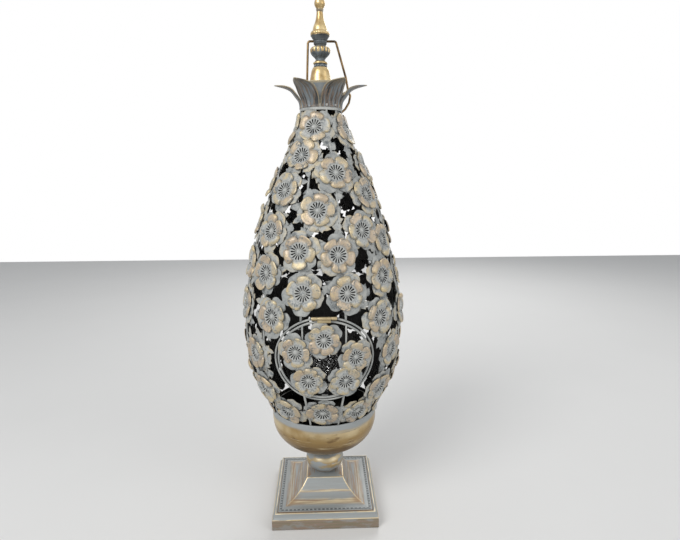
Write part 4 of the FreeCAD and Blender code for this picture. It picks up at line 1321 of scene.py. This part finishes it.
def square_rings(pile, levels, corner=1.2, per_side=14, steps=3):
    """Square body through (half side, height) levels, with slightly rounded corners."""
    rings = []
    for half, z in levels:
        ring = []
        r = min(corner, half * 0.3)
        for side in range(4):
            for k in range(per_side):
                t = -1 + 2 * k / (per_side - 1)
                ring.append((half, t * (half - r), side))
            for k in range(1, steps):
                a = 0.5 * math.pi * k / steps
                ring.append((half - r + r * math.cos(a), half - r + r * math.sin(a), side))
        turned = []
        for x, y, side in ring:
            c, s = QUARTERS[side]
            turned.append((x * c - y * s, x * s + y * c, z))
        rings.append(turned)
    columns = len(rings[0])
    pile.add([p for ring in rings for p in ring], grid_faces(len(rings), columns, wrap=True))


# %% [markdown]
# ## Foot
# From the floor up: a plain skirt, a hollow moulding to a lip, a flat shelf with a row of beads, a sloping
# side that curves in slightly, and a small flat top for the ring and the ball. The slope is one smooth curve
# with a single pull point. The beads sit in a line along each side.


# %% Foot
def place_foot():
    foot = Pile()
    half, lip = FOOT_HALF, FOOT_LIP_Z
    profile = [(4, 0.2), (1.2, 0.4), (0.3, 1.0), (0, 2.0), (0, 10), (0, 19.4), (0.4, 20.6), (1.2, 21.2),
               (2.2, 21.8), (3.4, 23.4), (4.4, 25.6), (5.2, 28), (5.7, 29.8), (6.3, 30.6), (7.0, lip),
               (8.0, 30.6), (8.8, 29.8), (9.4, 29.2), (10.4, 29.4), (11.2, 30.6), (12, 31.0), (16, 31.05),
               (21, 31.2), (22.6, 31.4)]
    skirt = [(half - inset, z) for inset, z in profile]
    start, pull, end = (76.5, 32), (50, 38), (36, 65.4)
    slope = []
    for k in range(1, 17):
        t = k / 16
        slope.append([(1 - t) ** 2 * a + 2 * t * (1 - t) * b + t ** 2 * c
                      for a, b, c in zip(start, pull, end)])
    top = [(35.4, 65.9), (34.4, NECK_LOW), (30, NECK_LOW), (12, NECK_LOW), (TUBE_R, NECK_LOW)]
    square_rings(foot, skirt + slope + top)
    at, count, shelf = half - 15.6, 22, 30.9
    for c, s in QUARTERS:
        for k in range(count):
            t = -at + 2 * at * k / count
            bead(foot, np.array([at * c - t * s, at * s + t * c, shelf]), (0, 0, 1), 2.1, 0.8, rows=3)
    foot.make("fine_foot", FOOT_PAINT, "lamp", ["foot"], slot="patinated_metal")


place_foot()


# %% [markdown]
# ## One leaf of the crown
# Six sheet metal leaves stand up from the top ring and curl outwards to a point. A leaf is given by rows of
# radius, height and half angle. Beaten creases run along it: each is a small hollow with its own place,
# width and depth, and they fade at root and tip. The inner face is a second copy a sheet's thickness
# further in, and a strip of faces closes the edge.


# %% One leaf of the crown
def crown_petal(azimuth, tint):
    """One leaf: rows along it, columns across it, creased lengthwise, with turned-up sides."""
    rng = random.Random(tint)
    rows = smooth_line([(38.3, 766.8, 28.8), (38.3, 771.0, 28.8), (40.2, 779.0, 28.2), (46.8, 788.0, 25.5),
                        (54.0, 797.0, 20.5), (63.5, 802.0, 13.5), (73.0, 804.5, 6.5), (82.0, 806.5, 0.5)], 4)
    columns = 33
    creases = [(rng.uniform(-0.9, 0.9), rng.uniform(0.04, 0.09), rng.uniform(0.5, 1.1)) for _ in range(9)]
    points, marks = [], []
    for side in (0, 1):
        for k, (r, z, half) in enumerate(rows):
            along = k / (len(rows) - 1)
            fold = 2.6 * min(1, max(0, along - 0.2) / 0.25) * (1 - along ** 3)
            for j in range(columns):
                t = -1 + 2 * j / (columns - 1)
                a = math.radians(azimuth + half * t)
                depth = sum(d * math.exp(-((t - c) / w) ** 2) for c, w, d in creases)
                depth *= min(1, along * 7) * (1 - along) ** 0.5
                out = r - depth - side * 1.3 * (1 - 0.5 * along)
                lift = fold * t * t - 0.3 * depth * along
                height = z + lift + side * (0.4 + 0.9 * along)
                points.append((out * math.sin(a), -out * math.cos(a), height))
                marks.append((along, 0.5 + 0.5 * t, tint, 1))
    n = len(rows) * columns
    faces = grid_faces(len(rows), columns)
    faces += [[n + i for i in face][::-1] for face in grid_faces(len(rows), columns)]
    edge = ([k * columns for k in range(len(rows))]
            + [(len(rows) - 1) * columns + j for j in range(1, columns)]
            + [k * columns + columns - 1 for k in range(len(rows) - 2, -1, -1)]
            + [j for j in range(columns - 2, 0, -1)])
    for a, b in zip(edge, edge[1:] + edge[:1]):
        faces.append([a, b, n + b, n + a])
    return points, faces, marks


# %% [markdown]
# ## Crown
# The six leaves stand evenly round the ring, each with its own creases and tint. A plain thin cup stands
# inside them and hides the hole round the dome.


# %% Crown
def place_crown():
    petals = Pile()
    for k in range(CROWN_PETALS):
        petals.add(*crown_petal(CROWN_FIRST + 60 * k, k / CROWN_PETALS))
    petals.make("fine_crown_petals", CROWN_PAINT, "lamp", ["crown_petals"], slot="patinated_metal")
    cup = Pile()
    wall = [(34.3, COLLAR_TOP), (35.0, COLLAR_TOP), (35.2, 780), (35.7, 789), (36.9, 800), (38.3, 808),
            (38.6, 808.9), (38.0, 809.5), (37.3, 808.9), (36.0, 800), (34.8, 789), (34.3, 780),
            (34.3, COLLAR_TOP)]
    lathe(cup, wall, 96)
    cup.make("fine_crown_cup", CUPLET_PAINT, "lamp", ["crown_cup"], slot="patinated_metal")


place_crown()


# %% [markdown]
# ## Lobes
# The ball of the finial is reeded like a melon and the foot of its vase has finer reeds. Carving them would
# take hundreds of faces by hand; as a change of radius on the lathe they cost one line. The lobes swell from
# nothing, so the ends of the ball stay round.


# %% Lobes
def lobed(count, depth, low, high):
    """Shape for lathe: lobes between two heights."""
    def shape(angle, r, z):
        if z <= low or z >= high:
            return r
        swell = math.sin(math.pi * (z - low) / (high - low)) ** 0.5
        return r * (1 - depth * swell * (1 - abs(math.cos(count * angle / 2)) ** 0.7))
    return shape


# %% [markdown]
# ## Finial
# Eight turned pieces are threaded on one rod: dome, beaded collar, neck, melon, beaded neck, flange, vase and
# knob. Each is its own piece because each can be taken off. Their profiles are soft curves through a few
# points from one seat to the next, closed at the rod's bore.


# %% Finial
def place_finial():
    def turned(node, profile, segments=72, shape=None):
        pile = Pile()
        lathe(pile, profile, segments, shape)
        pile.make("fine_" + node, GOLD_PAINT, "lamp", [node], slot="antique_gold")

    bore = 3.1
    dome = smooth_line([(24, 788), (22.2, 799), (18.6, 816), (17.0, 824.5), (15.6, 831), (13.2, DOME_TOP)], 5)
    turned("dome_cap", [(22, COLLAR_TOP), (24, COLLAR_TOP)] + dome.tolist() + [(bore, DOME_TOP)])

    collar = Pile()
    lathe(collar, smooth_line([(bore, DOME_TOP), (12.6, DOME_TOP), (12.4, 836.6), (10.8, 837.2), (9.6, 838.0),
                               (9.6, 840.8), (10.6, 841.8), (12.4, 842.6), (12.6, 843.8), (11.6, 845.0),
                               (bore, BEADS_TOP)], 3), 72)
    beads_round(collar, 10, 9.4, COLLAR_BEADS_Z, 2.3, sides=12, rows=5)
    collar.make("fine_beaded_collar", GOLD_PAINT, "lamp", ["beaded_collar"], slot="antique_gold")

    turned("lower_neck", smooth_line([(bore, BEADS_TOP), (10.3, 845.6), (9.3, 847.2), (8.4, 848.8),
                                      (8.6, 850.8), (9.6, NECK_TOP), (bore, NECK_TOP)], 4))
    ball = smooth_line([(9.6, NECK_TOP), (13.4, 855.6), (16.4, 859.4), (17.6, 863.6), (17.2, 867.2),
                        (15.0, 869.5), (11.0, BALL_TOP)], 6)
    turned("lobed_ball", [(bore, NECK_TOP)] + ball.tolist() + [(bore, BALL_TOP)], 168,
           lobed(14, 0.13, 854, 870.8))

    upper = Pile()
    lathe(upper, smooth_line([(bore, BALL_TOP), (9.0, BALL_TOP), (9.2, 872.3), (10.8, 874.6), (11.4, 875.8),
                              (10.4, 877.0), (11.2, 878.2), (10.9, 879.4), (10.4, UPPER_NECK_TOP),
                              (bore, UPPER_NECK_TOP)], 4), 72)
    beads_round(upper, 22, 10.2, 877.0, 1.25, sides=8, rows=3)
    upper.make("fine_upper_neck", GOLD_PAINT, "lamp", ["upper_neck"], slot="antique_gold")

    turned("flange_cup", smooth_line([(bore, UPPER_NECK_TOP), (10.6, 880.6), (12.0, 882.2), (13.8, 884.6),
                                      (15.2, 887), (15.8, FLANGE_TOP), (bore, FLANGE_TOP)], 4))
    vase = smooth_line([(15.4, FLANGE_TOP), (16.6, 890.6), (16.7, 892.6), (15.4, 894.8), (13.2, 896.4),
                        (12.6, 899), (11.6, 903), (9.2, 909), (7.2, 915), (6.0, 922), (5.6, VASE_TOP)], 5)
    turned("finial_vase", [(bore, FLANGE_TOP)] + vase.tolist() + [(bore, VASE_TOP)], 96,
           lobed(16, 0.05, FLANGE_TOP, 896))
    knob = smooth_line([(5.6, VASE_TOP), (6.4, 930.8), (6.0, 932.2), (7.2, 934.4), (9.0, 938), (9.3, 941.5),
                        (8.0, 946), (4.6, 950), (0.05, LAMP_TOP)], 5)
    turned("finial_knob", [(bore, VASE_TOP)] + knob.tolist())


place_finial()


# %% [markdown]
# ## Hinge
# The door turns about a barrel of three short tubes on one pin at its top edge: two knuckles belong to the
# cage and the middle one to the door. Short plates join them to the rings. The tubes come from the same
# lathe, laid on their side, and a small bevel softens the plates.


# %% Hinge
def place_hinge():
    barrel = 3.0

    def rod(pile, x0, x1):
        profile = rounded([(0.05, x0), (barrel, x0), (barrel, x1), (0.05, x1)], 0.5)
        part = Pile()
        lathe(part, profile, 32)
        points = part.points[0][:, [2, 0, 1]] + [0, HINGE_Y, HINGE_Z]
        pile.add(points, part.faces)

    def block(pile, low, high):
        corners = [(x, y, z) for z in (low[2], high[2]) for y in (low[1], high[1])
                   for x in (low[0], high[0])]
        pile.add(corners, [[0, 2, 3, 1], [4, 5, 7, 6], [0, 1, 5, 4], [2, 6, 7, 3], [0, 4, 6, 2],
                           [1, 3, 7, 5]])

    fixed = Pile()
    for x0, x1 in ((DOOR_X - 21, DOOR_X - 11.4), (DOOR_X + 11.4, DOOR_X + 21)):
        rod(fixed, x0, x1)
        block(fixed, (x0 + 0.4, HINGE_Y + 1.2, HINGE_Z - 1.3), (x1 - 0.4, HINGE_Y + 4.4, HINGE_Z + 1.3))
    cage_side = fixed.make("fine_hinge_knuckles_cage", GOLD_PAINT, "lamp", ["hinge_knuckles_cage"],
                           slot="antique_gold")
    moving = Pile()
    rod(moving, DOOR_X - 11, DOOR_X + 11)
    block(moving, (DOOR_X - 11, HINGE_Y + 0.9, HINGE_Z - 7.6), (DOOR_X + 11, HINGE_Y + 2.9, HINGE_Z))
    door_side = moving.make("fine_hinge_knuckle_door", GOLD_PAINT, "door", ["hinge_knuckle_door"],
                            slot="antique_gold")
    for piece in (cage_side, door_side):
        bevel = piece.modifiers.new("soft_edges", "BEVEL")
        bevel.width = 0.3 * MM
        bevel.segments = 2


place_hinge()

# %% [markdown]
# ## Pieces that show as they are
# Nuts, tube, weight, felt and lampholder are simple forms, and their solids are already true to them. They
# only need a finish, so each paint lists the pieces that take it.

# %% Finish the simple pieces
PLAIN = {
    RIB_PAINT: ("door_catch", "top_collar"),
    GOLD_PAINT: ("hinge_pin",),
    BOARD_PAINT: ("foot_cover",),
    FELT_PAINT: ("felt_pad",),
    IRON_PAINT: ("foot_weight",),
    RUBBER_PAINT: ("cable_grommet",),
    STEEL_PAINT: ("centre_tube", "tube_nut_low", "cup_nut", "cross_nut", "foot_cross", "top_cross",
                  "finial_rod", "finial_nut", "bulb_cap"),
    BLACK_PAINT: ("holder_cap", "holder_insert", "holder_shell"),
}
for paint, nodes in PLAIN.items():
    for node in nodes:
        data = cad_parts[node].data
        data.materials.clear()
        data.materials.append(paint)
    print(paint.name, "on", ", ".join(nodes))

# %% [markdown]
# ## Bulb
# The bulb shows as a bright curve through the door. Glass bends light at both of its faces, so the wall has
# an inner one too, 1 mm in; a solid drop of glass would look like a lens.

# %% Bulb
GLASS_WALL = 1.0
bulb = Pile()
outside = smooth_line([(13.2, 240), (13.4, 246), (14.6, 252), (20, 264), (26.6, 275), (30, 291), (27.2, 304),
                       (19.5, 314), (10, 318.8), (0.05, 320)], 4)
inside = [(max(r - GLASS_WALL, 0.05), z - GLASS_WALL * max(0, (z - 290) / 30)) for r, z in outside[::-1]]
lathe(bulb, outside.tolist() + inside, 64)
bulb.make("fine_bulb_glass", GLASS_PAINT, "lamp", ["bulb_glass"], slot="bulb_glass")

# %% [markdown]
# ## Floor and light
# A pale floor takes the shadow. A large soft lamp stands at the upper left, a weaker one at the right and one
# behind for the rims, all low enough that a colour shows about as it was written. The white that is seen
# behind the lamp, in its metal and through its glass comes from the kind of ray, so it adds nothing to the
# light that falls on the lamp.


# %% Floor and light
def area_light(name, place, target, size, power):
    light = bpy.data.lights.new(name, "AREA")
    light.shape = "DISK"
    light.size = size
    light.energy = power
    obj = bpy.data.objects.new(name, light)
    obj.location = place
    obj.rotation_euler = (Vector(target) - Vector(place)).to_track_quat("-Z", "Y").to_euler()
    bpy.context.scene.collection.objects.link(obj)
    return obj


def place_room():
    floor_mesh = bpy.data.meshes.new("floor")
    floor_mesh.from_pydata([(-3, -3, 0), (3, -3, 0), (3, 3, 0), (-3, 3, 0)], [], [[0, 1, 2, 3]])
    floor = bpy.data.objects.new("floor", floor_mesh)
    paint = Paint("floor_paint", roughness=0.75)
    paint.set("Base Color", paint.mix(paint.noise(3), rgb(0.76, 0.75, 0.73), rgb(0.79, 0.78, 0.76)))
    floor_mesh.materials.append(paint.material)
    bpy.context.scene.collection.objects.link(floor)
    area_light("key", (-1.6, -1.9, 2.2), (0, 0, 0.45), 1.6, 50)
    area_light("fill", (2.0, -1.4, 1.2), (0, 0, 0.4), 1.8, 17)
    area_light("back", (0.6, 2.2, 2.0), (0, 0, 0.5), 1.5, 27)
    world = bpy.data.worlds.new("studio")
    bpy.context.scene.world = world
    world.use_nodes = True
    tree = world.node_tree
    soft, white = tree.nodes["Background"], tree.nodes.new("ShaderNodeBackground")
    soft.inputs["Color"].default_value = (0.86, 0.9, 0.95, 1)
    soft.inputs["Strength"].default_value = 0.4
    white.inputs["Color"].default_value = (1, 1, 1, 1)
    path, seen = tree.nodes.new("ShaderNodeLightPath"), tree.nodes.new("ShaderNodeMixShader")
    shown = path.outputs["Is Camera Ray"]
    for ray in ("Is Glossy Ray", "Is Transmission Ray"):
        either = tree.nodes.new("ShaderNodeMath")
        either.operation = "MAXIMUM"
        tree.links.new(shown, either.inputs[0])
        tree.links.new(path.outputs[ray], either.inputs[1])
        shown = either.outputs[0]
    tree.links.new(shown, seen.inputs[0])
    tree.links.new(soft.outputs[0], seen.inputs[1])
    tree.links.new(white.outputs[0], seen.inputs[2])
    tree.links.new(seen.outputs[0], tree.nodes["World Output"].inputs["Surface"])


place_room()


# %% [markdown]
# ## Camera
# The camera stands where the photograph was taken: 0.9 m in front of the lamp and 0.65 m up, looking slightly
# down. Its angles and its lens were fitted to the foot's corners and the cup's rim.


# %% Camera
def place_camera():
    yaw, pitch, roll = math.radians(2.066), math.radians(10.764), math.radians(-0.268)
    ahead = Vector((math.sin(yaw) * math.cos(pitch), math.cos(yaw) * math.cos(pitch), -math.sin(pitch)))
    level = Vector((math.cos(yaw), -math.sin(yaw), 0))
    above = level.cross(ahead)
    right = math.cos(roll) * level + math.sin(roll) * above
    up = -math.sin(roll) * level + math.cos(roll) * above
    data = bpy.data.cameras.new("camera")
    data.lens = 25.79
    data.sensor_width = 36
    data.clip_start = 0.01
    camera = bpy.data.objects.new("camera", data)
    turn = Matrix((right, up, -ahead)).transposed().to_4x4()
    camera.matrix_world = Matrix.Translation((0, -0.90619, 0.64772)) @ turn
    bpy.context.scene.collection.objects.link(camera)
    bpy.context.scene.camera = camera


place_camera()
bpy.context.scene.view_settings.view_transform = "Standard"
print("camera at", [round(x, 3) for x in bpy.context.scene.camera.matrix_world.translation])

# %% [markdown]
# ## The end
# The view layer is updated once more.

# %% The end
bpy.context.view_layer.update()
